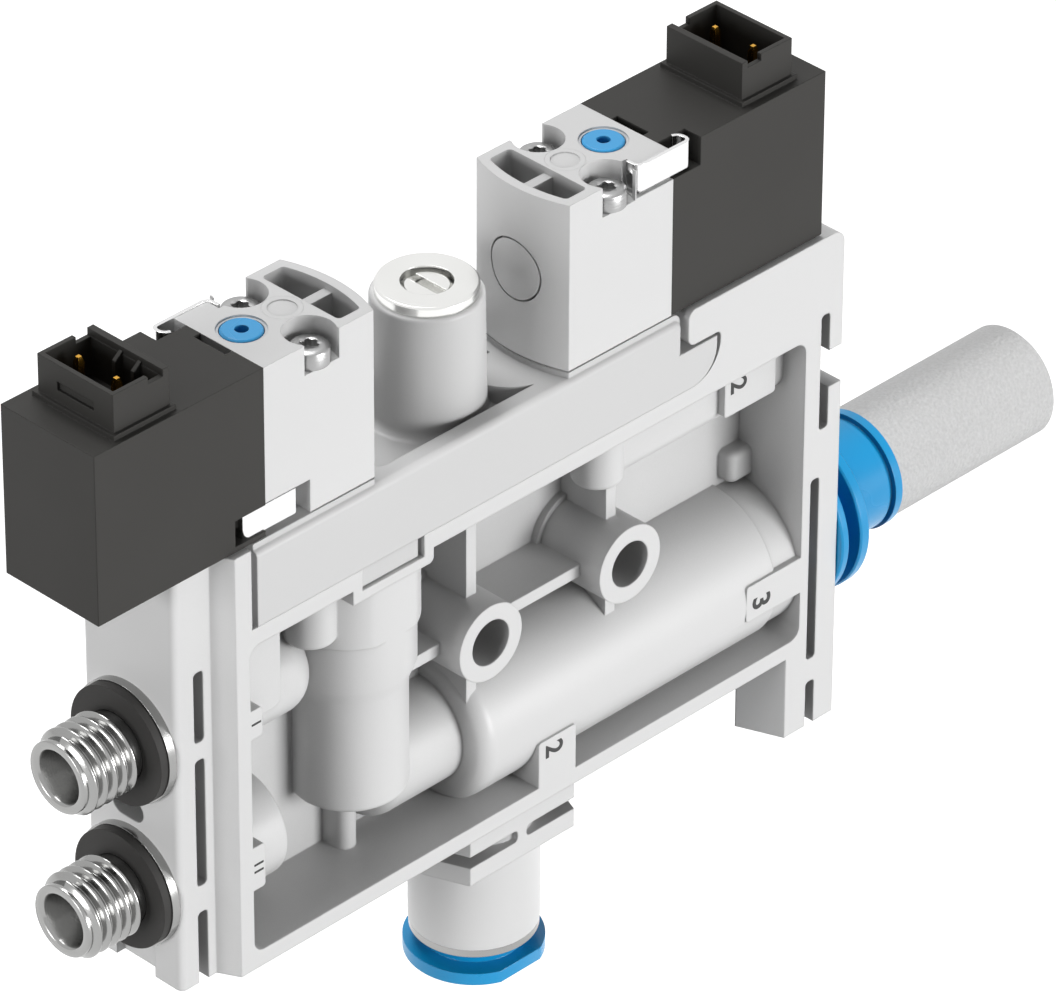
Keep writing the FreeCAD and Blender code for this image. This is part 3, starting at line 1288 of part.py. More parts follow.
def armature_pad():
    face = JUNCTION_X + SEAT_IN - SEAT_CLEAR
    return rod_x(PAD_R, face - PAD_THICK, face, VALVE_MID_Y, DRIVE_Z)


def armature_spring():
    tail = armature_tail()
    outer = SPRING_POCKET_R - SPRING_CLEAR
    core_face = tail - ARMATURE_STROKE - SPRING_CLEAR
    return ring_x(outer, outer - SPRING_WALL, core_face, tail + SPRING_POCKET_DEEP, VALVE_MID_Y, DRIVE_Z)


def supply_piston():
    """The piston and its poppet disc, turned in one piece with a seal groove."""
    r = CHAMBER_BORE_R - PISTON_CLEAR
    groove = r - PISTON_SEAL_GROOVE
    head = PISTON_TOP - PISTON_HEAD
    mid = (PISTON_TOP + head) / 2
    half = PISTON_SEAL_HEIGHT / 2
    disc_low = SEAT_Z + PISTON_STROKE + PISTON_SEAT_GAP
    profile = [
        (0, disc_low), (PISTON_DISC_R, disc_low), (PISTON_DISC_R, disc_low + PISTON_DISC),
        (PISTON_STEM_R, disc_low + PISTON_DISC), (PISTON_STEM_R, head), (r, head), (r, mid - half),
        (groove, mid - half), (groove, mid + half), (r, mid + half), (r, PISTON_TOP), (0, PISTON_TOP),
    ]
    return turned_z(profile, CHAMBER_X, VALVE_MID_Y)


def piston_seal():
    r = CHAMBER_BORE_R - PISTON_CLEAR
    head = PISTON_TOP - PISTON_HEAD
    mid = (PISTON_TOP + head) / 2
    half = PISTON_SEAL_HEIGHT / 2
    return ring_z(r, r - PISTON_SEAL_GROOVE, CHAMBER_X, VALVE_MID_Y, mid - half, mid + half)


def piston_spring():
    disc_low = SEAT_Z + PISTON_STROKE + PISTON_SEAT_GAP
    floor = CHAMBER_BOTTOM + OUTLET_FLOOR
    outer = OUTLET_BORE_R - SPRING_CLEAR
    return ring_z(outer, outer - SPRING_WALL, CHAMBER_X, VALVE_MID_Y, floor, disc_low)


def jet_nozzle():
    """A converging and then widening jet with a flange that fills the tube's bore."""
    r = JET_BORE_R - NOZZLE_CLEAR
    left = JET_BORE_LEFT
    flange = left + JET_FLANGE
    tip = left + JET_LENGTH
    profile = [
        (left, JET_MOUTH_R), (left, r), (flange, r), (flange, JET_TIP_R + JET_ROOT), (tip - JET_TIP, JET_TIP_R),
        (tip, JET_TIP_R - JET_TIP_EDGE), (tip, JET_EXIT_R), (flange + JET_CONVERGE, JET_THROAT_R),
    ]
    return turned_x(profile, 0, JET_Z)


def receiver_nozzle():
    """The mixing and diffusing nozzle, with a groove for its seal ring."""
    r = JET_BORE_R - NOZZLE_CLEAR
    left = RECEIVER_LEFT
    right = SOCKET_LEFT - RECEIVER_END_GAP
    groove = left + RECEIVER_SEAL_IN
    deep = r - RECEIVER_SEAL_DEEP
    throat = left + RECEIVER_THROAT_IN
    profile = [
        (left, RECEIVER_MOUTH_R), (left, r - RECEIVER_EDGE), (left + RECEIVER_EDGE, r), (groove, r),
        (groove, deep), (groove + RECEIVER_SEAL_WIDTH, deep), (groove + RECEIVER_SEAL_WIDTH, r), (right, r),
        (right, RECEIVER_EXIT_R), (throat + RECEIVER_THROAT, RECEIVER_THROAT_R), (throat, RECEIVER_THROAT_R),
    ]
    return turned_x(profile, 0, JET_Z)


def receiver_seal():
    r = JET_BORE_R
    left = RECEIVER_LEFT + RECEIVER_SEAL_IN
    inner = r - NOZZLE_CLEAR - RECEIVER_SEAL_DEEP
    return ring_x(r, inner, left, left + RECEIVER_SEAL_WIDTH, 0, JET_Z)


def check_disc():
    """The lifting check disc with a cross of guide vanes below it."""
    low = CHECK_SEAT_Z + CHECK_CLEAR
    foot, join = low - CHECK_GUIDE, low + CHECK_THICK / 2
    disc = rod_z(CHECK_R, VACUUM_X, 0, low, low + CHECK_THICK)
    reach = CHECK_PORT_R - CHECK_GUIDE_CLEAR
    half = CHECK_VANE / 2
    long_vane = box(VACUUM_X - reach, VACUUM_X + reach, -half, half, foot, join)
    cross_vane = box(VACUUM_X - half, VACUUM_X + half, -reach, reach, foot, join)
    vanes = long_vane.fuse(cross_vane).common(rod_z(reach, VACUUM_X, 0, foot, join))
    return disc.fuse(vanes).removeSplitter()


def spigot_top():
    return BOTTOM_Z - SPIGOT_TOP_GAP


def tube_stop():
    return COLLAR_BOTTOM + TUBE_STOP_UP


def seal_top():
    return tube_stop() - TUBE_STOP_LAND


def seal_bottom():
    return seal_top() - TUBE_SEAL_THICK


def port_filter():
    top = spigot_top() - FILTER_DOWN
    return rod_z(TUBE_BORE_R, VACUUM_X, 0, top - FILTER_THICK, top)


def cartridge_sleeve():
    """The cartridge's plastic sleeve: a spigot in the collar and a wider barrel below it."""
    top, stop = spigot_top(), tube_stop()
    spigot = SPIGOT_R - SPIGOT_CLEAR
    seal_room = TUBE_BORE_R + TUBE_SEAL_ROOM
    lip = TUBE_BORE_R - TUBE_STOP_LIP
    filter_top = top - FILTER_DOWN
    filter_low = filter_top - FILTER_THICK
    profile = [
        (CHECK_PORT_R, top), (spigot, top), (spigot, COLLAR_BOTTOM), (SLEEVE_R, COLLAR_BOTTOM),
        (SLEEVE_R, SLEEVE_BOTTOM), (COLLET_R, SLEEVE_BOTTOM), (COLLET_R, seal_bottom()),
        (seal_room, seal_bottom()), (seal_room, seal_top()), (TUBE_BORE_R, seal_top()),
        (TUBE_BORE_R, stop), (lip, stop), (lip, filter_low), (TUBE_BORE_R, filter_low),
        (TUBE_BORE_R, filter_top), (CHECK_PORT_R, filter_top),
    ]
    return turned_z(profile, VACUUM_X, 0)


def tube_seal():
    return ring_z(TUBE_BORE_R + TUBE_SEAL_ROOM, TUBE_BORE_R, VACUUM_X, 0, seal_bottom(), seal_top())


def collet():
    """The slotted steel grip that bites the tube, seated under the seal."""
    top = seal_bottom()
    low = top - COLLET_LENGTH
    ring = ring_z(COLLET_R, TUBE_BORE_R, VACUUM_X, 0, low, top)
    ring = ring.cut(Part.makeCone(
        COLLET_R - COLLET_LIP, TUBE_BORE_R + COLLET_TOOTH, COLLET_LENGTH - COLLET_BACK, Vec(VACUUM_X, 0, low),
    ))
    half = COLLET_SLOT_WIDTH / 2
    for i in range(COLLET_SLOTS):
        slot = box(0, COLLET_R + OVER, -half, half, low - OVER, top - COLLET_BACK)
        slot.rotate(Vec(0, 0, 0), Vec(0, 0, 1), i * 360 / COLLET_SLOTS)
        slot.translate(Vec(VACUUM_X, 0, 0))
        ring = ring.cut(slot)
    return ring.removeSplitter()


def sleeve_ring():
    """The bright metal ring pressed on the sleeve's mouth."""
    low = SLEEVE_BOTTOM - SLEEVE_RING
    return ring_z(SLEEVE_R - SLEEVE_RING_IN, COLLET_R, VACUUM_X, 0, low, SLEEVE_BOTTOM)


def release_ring_vacuum():
    """The release ring: a flange with two flat sides and a sleeve that opens the grip."""
    low = RELEASE_TOP - RELEASE_THICK
    flange = rod_z(RELEASE_R, VACUUM_X, 0, low, RELEASE_TOP)
    flange = flange.common(box(-FAR, FAR, -RELEASE_SIDE, RELEASE_SIDE, -FAR, FAR))
    top = seal_bottom() - COLLET_LENGTH - RELEASE_TRAVEL - RELEASE_REST_GAP
    sleeve = rod_z(COLLET_R - RELEASE_CLEAR, VACUUM_X, 0, low + RELEASE_THICK / 2, top)
    bore = rod_z(TUBE_BORE_R, VACUUM_X, 0, low - OVER, top + OVER)
    funnel = Part.makeCone(TUBE_BORE_R + RELEASE_FUNNEL, TUBE_BORE_R, RELEASE_FUNNEL, Vec(VACUUM_X, 0, low))
    return flange.fuse(sleeve).cut([bore, funnel]).removeSplitter()


def exhaust_seal():
    return ring_x(SOCKET_R, STEM_R, EXHAUST_SEAL_X, EXHAUST_SEAL_X + EXHAUST_SEAL_THICK, 0, JET_Z)


def exhaust_collet():
    """The steel grip ring round the plug's stem."""
    left = EXHAUST_COLLET_X
    right = left + EXHAUST_COLLET_LENGTH
    profile = [
        (left, STEM_R + EXHAUST_GRIP_CLEAR), (left, SOCKET_R), (right, SOCKET_R),
        (right, SOCKET_R - EXHAUST_GRIP_LIP), (left + EXHAUST_GRIP_TOOTH, STEM_R + EXHAUST_GRIP_LIP),
    ]
    return turned_x(profile, 0, JET_Z)


def release_ring_exhaust():
    """The exhaust port's release ring: a thin flange and a sleeve towards the grip."""
    left = EXHAUST_RING_X
    right = left + EXHAUST_RING_THICK
    outer = SOCKET_R - RELEASE_CLEAR
    inner = outer - EXHAUST_WALL
    sleeve_left = EXHAUST_COLLET_X + EXHAUST_COLLET_LENGTH + EXHAUST_REST_GAP
    rim, edge = EXHAUST_RING_R, EXHAUST_EDGE
    profile = [
        (sleeve_left, inner), (sleeve_left, outer), (left, outer), (left, rim - edge), (left + edge, rim),
        (right - edge, rim), (right, rim - edge), (right, inner),
    ]
    return turned_x(profile, 0, JET_Z)


def silencer_plug():
    """The silencer's plug: stem, round flange, waist and a collar with a fine groove."""
    left = PLUG_FLANGE_X
    right = left + PLUG_FLANGE_THICK
    groove_right = COLLAR_END_X - COLLAR_GROOVE_BACK
    groove_left = groove_right - COLLAR_GROOVE
    groove = WAIST_R - COLLAR_GROOVE_DEEP
    inner = SILENCER_R - SILENCER_WALL
    spigot = COLLAR_END_X + SILENCER_SPIGOT
    rim, edge = PLUG_FLANGE_R, EXHAUST_EDGE
    profile = [
        (STEM_LEFT, STEM_BORE_R), (STEM_LEFT, STEM_R - STEM_EDGE), (STEM_LEFT + STEM_LEAD, STEM_R), (left, STEM_R),
        (left, rim - edge), (left + edge, rim), (right - edge, rim), (right, rim - edge), (right, WAIST_R),
        (groove_left, WAIST_R), (groove_left, groove), (groove_right, groove), (groove_right, COLLAR_R),
        (COLLAR_END_X, COLLAR_R), (COLLAR_END_X, inner), (spigot, inner), (spigot, STEM_BORE_R),
    ]
    return turned_x(profile, 0, JET_Z)


def silencer():
    """The sintered silencer: a thick cup pushed on the plug's spigot."""
    end = SILENCER_END_X
    edge = SILENCER_EDGE
    inner = SILENCER_R - SILENCER_WALL
    profile = [
        (COLLAR_END_X, inner), (COLLAR_END_X, SILENCER_R), (end - edge, SILENCER_R), (end, SILENCER_R - edge),
        (end, 0), (end - SILENCER_WALL, 0), (end - SILENCER_WALL, inner),
    ]
    return turned_x(profile, 0, JET_Z)


def nipple(z):
    """A turned nipple: root in the housing, neck for the washer, thread blank and bore."""
    tip = END_X - NIPPLE_OUT
    thread = END_X - WASHER_METAL - WASHER_RUBBER - THREAD_NECK
    root = END_X + NIPPLE_ROOT
    profile = [
        (root, NIPPLE_BORE_R), (root, NIPPLE_ROOT_R), (END_X, NIPPLE_ROOT_R), (END_X, THREAD_NECK_R),
        (thread, THREAD_NECK_R), (thread - THREAD_EDGE, THREAD_R), (tip + NIPPLE_TIP, THREAD_R),
        (tip, NIPPLE_TIP_R), (tip, NIPPLE_BORE_R + NIPPLE_MOUTH_R), (tip + NIPPLE_MOUTH, NIPPLE_BORE_R),
    ]
    return turned_x(profile, 0, z)


def washer_metal(z):
    return ring_x(WASHER_METAL_R, THREAD_NECK_R + WASHER_CLEAR, END_X - WASHER_METAL, END_X, 0, z)


def washer_rubber(z):
    x1 = END_X - WASHER_METAL
    return ring_x(WASHER_RUBBER_R, THREAD_NECK_R + WASHER_CLEAR, x1 - WASHER_RUBBER, x1, 0, z)


def adjuster_insert():
    """The threaded metal insert with its flat disc on top of the dome."""
    low, seat, top = DOME_TOP - INSERT_DEPTH, DOME_TOP, DOME_TOP + DISC_THICK
    profile = [
        (ADJUSTER_BORE_R, low), (INSERT_R, low), (INSERT_R, seat), (DISC_R, seat), (DISC_R, top - DISC_EDGE),
        (DISC_R - DISC_EDGE, top), (DISC_HOLE_R, top), (DISC_HOLE_R, seat + DISC_SEAT),
        (ADJUSTER_BORE_R, seat - DISC_LEAD),
    ]
    return turned_z(profile, DOME_X, 0)


def screw_bottom():
    return DOME_TOP + DISC_THICK - SCREW_RECESS - SCREW_LENGTH


def adjusting_screw():
    """The slotted throttle screw with a groove for its seal and a pointed tip."""
    top = DOME_TOP + DISC_THICK - SCREW_RECESS
    low = screw_bottom()
    shoulder = low + SCREW_TIP
    groove = screw_groove()
    profile = [
        (0, low), (SCREW_POINT_R, low), (SCREW_TIP_R, shoulder), (SCREW_R, shoulder), (SCREW_R, groove),
        (SCREW_NECK_R, groove), (SCREW_NECK_R, groove + SCREW_GROOVE), (SCREW_R, groove + SCREW_GROOVE),
        (SCREW_R, top), (0, top),
    ]
    screw = turned_z(profile, DOME_X, 0)
    half = SLOT_TOOL_WIDTH / 2
    return screw.cut(box(DOME_X - half, DOME_X + half, -FAR, FAR, top - SLOT_TOOL_DEPTH, FAR))


def screw_groove():
    return screw_bottom() + SCREW_TIP + SCREW_LAND


def screw_seal():
    low, top = screw_groove() + TINY, screw_groove() + SCREW_GROOVE - TINY
    return ring_z(SCREW_SEAL_R, SCREW_NECK_R + SCREW_SEAL_CLEAR, DOME_X, 0, low, top)


def both(shape):
    return {"left": shape, "right": turned_valve(shape)}


def nodes():
    """Every piece of the ejector by its node name."""
    pieces = {"housing": housing(), "top_plate": top_plate()}
    valve = {
        "valve_body": valve_body(), "coil_housing": coil_housing(), "coil_winding": coil_winding(),
        "fixed_core": fixed_core(), "armature": armature(), "armature_pad": armature_pad(),
        "armature_spring": armature_spring(), "connector_pins": Part.makeCompound(pin_pair()),
        "override_button": override_button(), "override_spring": override_spring(),
        "disc_plug": disc_plug(), "end_cap": end_cap(), "valve_screws": valve_screws(),
        "clips": clips(), "valve_gasket": valve_gasket(),
    }
    for name, shape in valve.items():
        for side, placed in both(shape).items():
            pieces[name + "_" + side] = placed
    for level, z in (("high", NIPPLE_HIGH_Z), ("low", NIPPLE_LOW_Z)):
        pieces["nipple_" + level] = nipple(z)
        pieces["washer_metal_" + level] = washer_metal(z)
        pieces["washer_rubber_" + level] = washer_rubber(z)
    pieces.update({
        "adjuster_insert": adjuster_insert(), "adjusting_screw": adjusting_screw(), "screw_seal": screw_seal(),
        "supply_piston": supply_piston(), "piston_seal": piston_seal(), "piston_spring": piston_spring(),
        "jet_nozzle": jet_nozzle(), "receiver_nozzle": receiver_nozzle(), "receiver_seal": receiver_seal(),
        "check_disc": check_disc(), "port_filter": port_filter(), "cartridge_sleeve": cartridge_sleeve(),
        "tube_seal": tube_seal(), "collet": collet(), "sleeve_ring": sleeve_ring(),
        "release_ring_vacuum": release_ring_vacuum(), "exhaust_seal": exhaust_seal(),
        "exhaust_collet": exhaust_collet(), "release_ring_exhaust": release_ring_exhaust(),
        "silencer_plug": silencer_plug(), "silencer": silencer(),
    })
    return pieces


def export_all():
    os.makedirs("parts", exist_ok=True)
    pieces = nodes()
    for name, shape in pieces.items():
        state = "valid" if shape.isValid() else "INVALID"
        print(name, state, len(shape.Solids), round(shape.Volume, 2))
        shape.exportStep("parts/" + name + ".step")
    print(len(pieces), "nodes")


export_all()
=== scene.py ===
import json
import math

import bmesh
import bpy
from mathutils import Matrix, Vector

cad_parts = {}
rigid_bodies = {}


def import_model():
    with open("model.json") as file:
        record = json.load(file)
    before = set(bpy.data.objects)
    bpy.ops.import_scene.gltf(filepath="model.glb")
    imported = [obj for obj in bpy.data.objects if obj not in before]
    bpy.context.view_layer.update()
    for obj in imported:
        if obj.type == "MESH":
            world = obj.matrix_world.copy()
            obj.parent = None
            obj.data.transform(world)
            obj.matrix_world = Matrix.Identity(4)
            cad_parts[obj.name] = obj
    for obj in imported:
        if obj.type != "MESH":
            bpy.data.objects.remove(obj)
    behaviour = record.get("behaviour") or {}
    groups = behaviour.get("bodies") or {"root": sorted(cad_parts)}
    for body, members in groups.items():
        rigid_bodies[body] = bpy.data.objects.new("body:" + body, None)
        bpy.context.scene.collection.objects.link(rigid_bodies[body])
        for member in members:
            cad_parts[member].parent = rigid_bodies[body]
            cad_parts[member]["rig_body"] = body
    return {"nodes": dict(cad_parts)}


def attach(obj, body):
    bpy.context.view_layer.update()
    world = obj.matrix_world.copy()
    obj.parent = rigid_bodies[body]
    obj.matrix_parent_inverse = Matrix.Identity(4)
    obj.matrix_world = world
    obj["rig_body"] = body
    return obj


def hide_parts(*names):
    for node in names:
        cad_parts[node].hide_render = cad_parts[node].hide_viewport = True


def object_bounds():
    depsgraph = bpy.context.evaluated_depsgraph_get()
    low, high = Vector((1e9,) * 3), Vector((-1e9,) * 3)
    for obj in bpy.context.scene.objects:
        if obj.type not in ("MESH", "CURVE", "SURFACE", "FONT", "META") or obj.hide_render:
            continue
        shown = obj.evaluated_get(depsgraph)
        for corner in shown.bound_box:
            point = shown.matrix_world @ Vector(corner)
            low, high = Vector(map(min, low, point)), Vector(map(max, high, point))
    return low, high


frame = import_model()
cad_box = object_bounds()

# The camera stands off the front corner at the nipples' end, far away with a long lens,
# and looks down on the ejector at about 33.5 degrees.
MM = 0.001
CAMERA_PLACE = (-392.5 * MM, -398.6 * MM, 381.5 * MM)
CAMERA_YAW = math.radians(45.277)
CAMERA_PITCH = math.radians(33.529)
CAMERA_ROLL = math.radians(0.224)
FOCAL_PIXELS = 8714.98
PICTURE = (1056, 994)
PRINCIPAL = (518.72, 490.90)
SENSOR = 36.0
FAR_CLIP = 10.0


def look_axes():
    """The camera's right, up and forward directions, worked out from its three angles."""
    forward = Vector((
        math.sin(CAMERA_YAW) * math.cos(CAMERA_PITCH), math.cos(CAMERA_YAW) * math.cos(CAMERA_PITCH),
        -math.sin(CAMERA_PITCH)))
    right = Vector((math.cos(CAMERA_YAW), -math.sin(CAMERA_YAW), 0.0))
    up = right.cross(forward)
    turn, lean = math.cos(CAMERA_ROLL), math.sin(CAMERA_ROLL)
    return turn * right + lean * up, turn * up - lean * right, forward


camera_data = bpy.data.cameras.new("camera")
camera_data.sensor_width = SENSOR
camera_data.lens = FOCAL_PIXELS * SENSOR / PICTURE[0]
camera_data.shift_x = (PICTURE[0] / 2 - PRINCIPAL[0]) / PICTURE[0]
camera_data.shift_y = (PRINCIPAL[1] - PICTURE[1] / 2) / PICTURE[0]
camera_data.clip_end = FAR_CLIP
camera = bpy.data.objects.new("camera", camera_data)
bpy.context.scene.collection.objects.link(camera)
right_axis, up_axis, forward_axis = look_axes()
turned = Matrix((right_axis, up_axis, -forward_axis)).transposed().to_4x4()
camera.matrix_world = Matrix.Translation(Vector(CAMERA_PLACE)) @ turned
bpy.context.scene.camera = camera


# The studio: a pale, glowing floor and a white sky, both for the camera and glossy surfaces alone,
# and a weak even sky light. A soft key lamp stands level with the ejector, in front and a little
# to the right, one is above and behind, and a weaker one is off the nipples' end.
LOWEST = cad_box[0][2]
FLOOR_DROP = 0.050
SWEEP = 3.0
SKY_FILL = 0.05
SKY_WHITE = 1.0
FLOOR_GLOW = 0.8
FLOOR_DULL = "#8C8C8C"
FLOOR_PALE = "#C8C8C8"
SKY_COLOUR = "#FFFFFF"


def colour(text):
    """A written sRGB colour as the renderer's linear one."""
    parts = [int(text[i:i + 2], 16) / 255 for i in (1, 3, 5)]
    return tuple(c / 12.92 if c <= 0.04045 else ((c + 0.055) / 1.055) ** 2.4 for c in parts) + (1.0,)


def add_node(tree, kind, values=None, links=None, **settings):
    """A new node with its inputs' values, its links and its own settings."""
    node = tree.nodes.new(kind)
    for name, value in settings.items():
        setattr(node, name, value)
    for name, value in (values or {}).items():
        node.inputs[name].default_value = value
    for name, source in (links or {}).items():
        tree.links.new(source, node.inputs[name])
    return node


def blank_material(name):
    material = bpy.data.materials.new(name)
    material.use_nodes = True
    material.node_tree.nodes.clear()
    return material, material.node_tree


def seen_directly(tree):
    """1 for rays from the camera, off gloss and through clear material, 0 for light on the object."""
    path = add_node(tree, "ShaderNodeLightPath").outputs
    seen = add_node(tree, "ShaderNodeMath", links={
        0: path["Is Camera Ray"], 1: path["Is Glossy Ray"]}, operation="MAXIMUM")
    both = add_node(tree, "ShaderNodeMath", links={
        0: seen.outputs[0], 1: path["Is Transmission Ray"]}, operation="MAXIMUM")
    return both.outputs[0]


def studio_white(name):
    """Pale and glowing where it is seen directly, and a dull grey to other light."""
    material, tree = blank_material(name)
    dull = add_node(tree, "ShaderNodeBsdfDiffuse", {"Color": colour(FLOOR_DULL)})
    pale = add_node(tree, "ShaderNodeBsdfDiffuse", {"Color": colour(FLOOR_PALE)})
    glow = add_node(tree, "ShaderNodeEmission", {"Strength": FLOOR_GLOW})
    white = add_node(tree, "ShaderNodeAddShader", links={0: pale.outputs[0], 1: glow.outputs[0]})
    mix = add_node(tree, "ShaderNodeMixShader", links={
        0: seen_directly(tree), 1: dull.outputs[0], 2: white.outputs[0]})
    add_node(tree, "ShaderNodeOutputMaterial", links={"Surface": mix.outputs[0]})
    return material


floor_mesh = bpy.data.meshes.new("floor")
floor_work = bmesh.new()
bmesh.ops.create_grid(floor_work, x_segments=1, y_segments=1, size=SWEEP)
bmesh.ops.translate(floor_work, verts=floor_work.verts, vec=(0, 0, LOWEST - FLOOR_DROP))
floor_work.to_mesh(floor_mesh)
floor_work.free()
floor = bpy.data.objects.new("floor", floor_mesh)
bpy.context.scene.collection.objects.link(floor)
floor_mesh.materials.append(studio_white("studio_floor"))

world = bpy.data.worlds.new("studio")
bpy.context.scene.world = world
world.use_nodes = True
sky = world.node_tree
sky.nodes.clear()
sky_fill = add_node(sky, "ShaderNodeBackground", {"Color": colour(SKY_COLOUR), "Strength": SKY_FILL})
sky_white = add_node(sky, "ShaderNodeBackground", {"Color": colour(SKY_COLOUR), "Strength": SKY_WHITE})
sky_mix = add_node(sky, "ShaderNodeMixShader", links={
    0: seen_directly(sky), 1: sky_fill.outputs[0], 2: sky_white.outputs[0]})
add_node(sky, "ShaderNodeOutputWorld", links={"Surface": sky_mix.outputs[0]})


def soft_lamp(name, place, target, size, power):
    data = bpy.data.lights.new(name, "AREA")
    data.shape = "SQUARE"
    data.size = size
    data.energy = power
    lamp = bpy.data.objects.new(name, data)
    bpy.context.scene.collection.objects.link(lamp)
    aim = (Vector(target) - Vector(place)).to_track_quat("-Z", "Y")
    lamp.matrix_world = Matrix.Translation(Vector(place)) @ aim.to_matrix().to_4x4()


MIDDLE = (0.010, 0.0, 0.0)
KEY_PLACE = (0.28, -1.00, 0.05)
KEY_SIZE = 0.5
KEY_POWER = 12.4
TOP_PLACE = (0.05, 0.40, 0.95)
TOP_SIZE = 0.5
TOP_POWER = 7.0
SIDE_PLACE = (-0.98, 0.02, 0.20)
SIDE_SIZE = 0.4
SIDE_POWER = 4.8
soft_lamp("key_lamp", KEY_PLACE, MIDDLE, KEY_SIZE, KEY_POWER)
soft_lamp("top_lamp", TOP_PLACE, MIDDLE, TOP_SIZE, TOP_POWER)
soft_lamp("side_lamp", SIDE_PLACE, MIDDLE, SIDE_SIZE, SIDE_POWER)
bpy.context.scene.view_settings.view_transform = "Standard"


# The housing is one glass-filled plastic moulding: a flanged frame round a thin web, with the
# ejector tube, valve chamber, bosses and ribs in one shot. The tool leaves a fine satin skin.
# The grain is drawn 0.1 mm wide, coarser than such a skin's usually is, so that it shows.
SATIN_GRAIN_MM = 0.10
SATIN_DEPTH_MM = 0.012
SATIN_ROUGHNESS = 0.42
SOFT_EDGE_MM = 0.22
SMOOTH_ANGLE = math.radians(28)
FLAT_ANGLE = math.radians(0.5)
MERGE_METRES = 1e-6
PLASTIC_IOR = 1.5
SKIN_STRENGTH = 0.35
# Faint patches, a sixtieth of a metre across, vary the sheen and, very slightly, the colour.
PATCH_MM = 50 / 3
SHEEN_SPREAD = 0.05
TINT_LOW = 0.985
# The noise pattern's middle range, which is stretched over the whole change.
NOISE_LOW = 0.3
NOISE_HIGH = 0.7
EDGE_SAMPLES = 6
# Painted shade: hollows are darkened in the colour itself, for likeness alone. It is no property of the
# plastic, and a share of 0 takes it out.
PAINTED_SHADE_REACH_MM = 12.0
PAINTED_SHADE_SHARE = 0.5
PAINTED_SHADE_SAMPLES = 8


def moulded_plastic(name, base, roughness, grain_mm, depth_mm, edge_mm, sheen_level=0.5):
    """Moulded plastic: an even colour with painted shade darkening its hollows, a fine satin skin that
    spreads the highlights, and softly broken edges."""
    material, tree = blank_material(name)
    place = add_node(tree, "ShaderNodeTexCoord").outputs["Object"]
    skin = add_node(tree, "ShaderNodeTexNoise", {
        "Scale": 1 / (grain_mm * MM), "Detail": 2.0}, {"Vector": place})
    patch = add_node(tree, "ShaderNodeTexNoise", {
        "Scale": 1 / (PATCH_MM * MM), "Detail": 3.0}, {"Vector": place})
    edge = add_node(tree, "ShaderNodeBevel", {"Radius": edge_mm * MM}, samples=EDGE_SAMPLES)
    bump = add_node(tree, "ShaderNodeBump", {"Strength": SKIN_STRENGTH, "Distance": depth_mm * MM}, {
        "Height": skin.outputs["Fac"], "Normal": edge.outputs[0]})
    rough = add_node(tree, "ShaderNodeMapRange", {
        "From Min": NOISE_LOW, "From Max": NOISE_HIGH,
        "To Min": roughness - SHEEN_SPREAD, "To Max": roughness + SHEEN_SPREAD},
        {"Value": patch.outputs["Fac"]})
    tint = add_node(tree, "ShaderNodeMapRange", {
        "From Min": NOISE_LOW, "From Max": NOISE_HIGH, "To Min": TINT_LOW, "To Max": 1.0},
        {"Value": patch.outputs["Fac"]})
    shade = add_node(tree, "ShaderNodeMix", {
        "Factor": 1.0, "A": colour(base)}, data_type="RGBA", blend_type="MULTIPLY")
    tree.links.new(tint.outputs[0], shade.inputs["B"])
    # Painted shade: the colour is darkened where the piece's own shape hems in its hollows.
    hollow_painted_shade = add_node(tree, "ShaderNodeAmbientOcclusion", {"Distance": PAINTED_SHADE_REACH_MM * MM}, {
        "Color": shade.outputs["Result"]}, samples=PAINTED_SHADE_SAMPLES, only_local=True)
    colour_with_painted_shade = add_node(tree, "ShaderNodeMix", {"Factor": PAINTED_SHADE_SHARE}, data_type="RGBA")
    tree.links.new(shade.outputs["Result"], colour_with_painted_shade.inputs["A"])
    tree.links.new(hollow_painted_shade.outputs["Color"], colour_with_painted_shade.inputs["B"])
    plastic = add_node(tree, "ShaderNodeBsdfPrincipled", {
        "IOR": PLASTIC_IOR, "Specular IOR Level": sheen_level}, {
        "Base Color": colour_with_painted_shade.outputs["Result"], "Roughness": rough.outputs[0], "Normal": bump.outputs[0]})
    add_node(tree, "ShaderNodeOutputMaterial", links={"Surface": plastic.outputs[0]})
    return material


def smooth_copy(node, name, material, angle=SMOOTH_ANGLE):
    """A copy that stands for a CAD node, merged and shaded smooth between its sharp edges."""
    source = frame["nodes"][node]
    mesh = source.data.copy()
    mesh.name = name
    work = bmesh.new()
    work.from_mesh(mesh)
    bmesh.ops.remove_doubles(work, verts=work.verts, dist=MERGE_METRES)
    bmesh.ops.dissolve_limit(work, angle_limit=FLAT_ANGLE, verts=work.verts, edges=work.edges)
    for face in work.faces:
        face.smooth = True
    for edge in work.edges:
        edge.smooth = edge.is_manifold and edge.calc_face_angle(0.0) < angle
    work.to_mesh(mesh)
    work.free()
    for layer in list(mesh.attributes):
        if layer.name in ("custom_normal", "custom_normals"):
            mesh.attributes.remove(layer)
    mesh.materials.clear()
    mesh.materials.append(material)
    piece = bpy.data.objects.new(name, mesh)
    bpy.context.scene.collection.objects.link(piece)
    body = source["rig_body"]
    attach(piece, body)
    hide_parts(node)
    return piece


# Glass-filled plastic: pale neutral grey with a satin skin and no mirror-like glints.
housing_plastic = moulded_plastic(
    "glass_filled_plastic", "#E4E4E4", SATIN_ROUGHNESS, SATIN_GRAIN_MM, SATIN_DEPTH_MM, SOFT_EDGE_MM)
housing = smooth_copy("housing", "ribbed_housing", housing_plastic)


# The carrier plate between the end posts is a second moulding in the same kind of plastic, a
# little darker, with pedestals for the two valves and the dome that holds the throttle screw.
carrier_plastic = moulded_plastic(
    "carrier_plastic", "#DADADA", SATIN_ROUGHNESS, SATIN_GRAIN_MM, SATIN_DEPTH_MM, SOFT_EDGE_MM)
carrier = smooth_copy("top_plate", "valve_carrier", carrier_plastic)


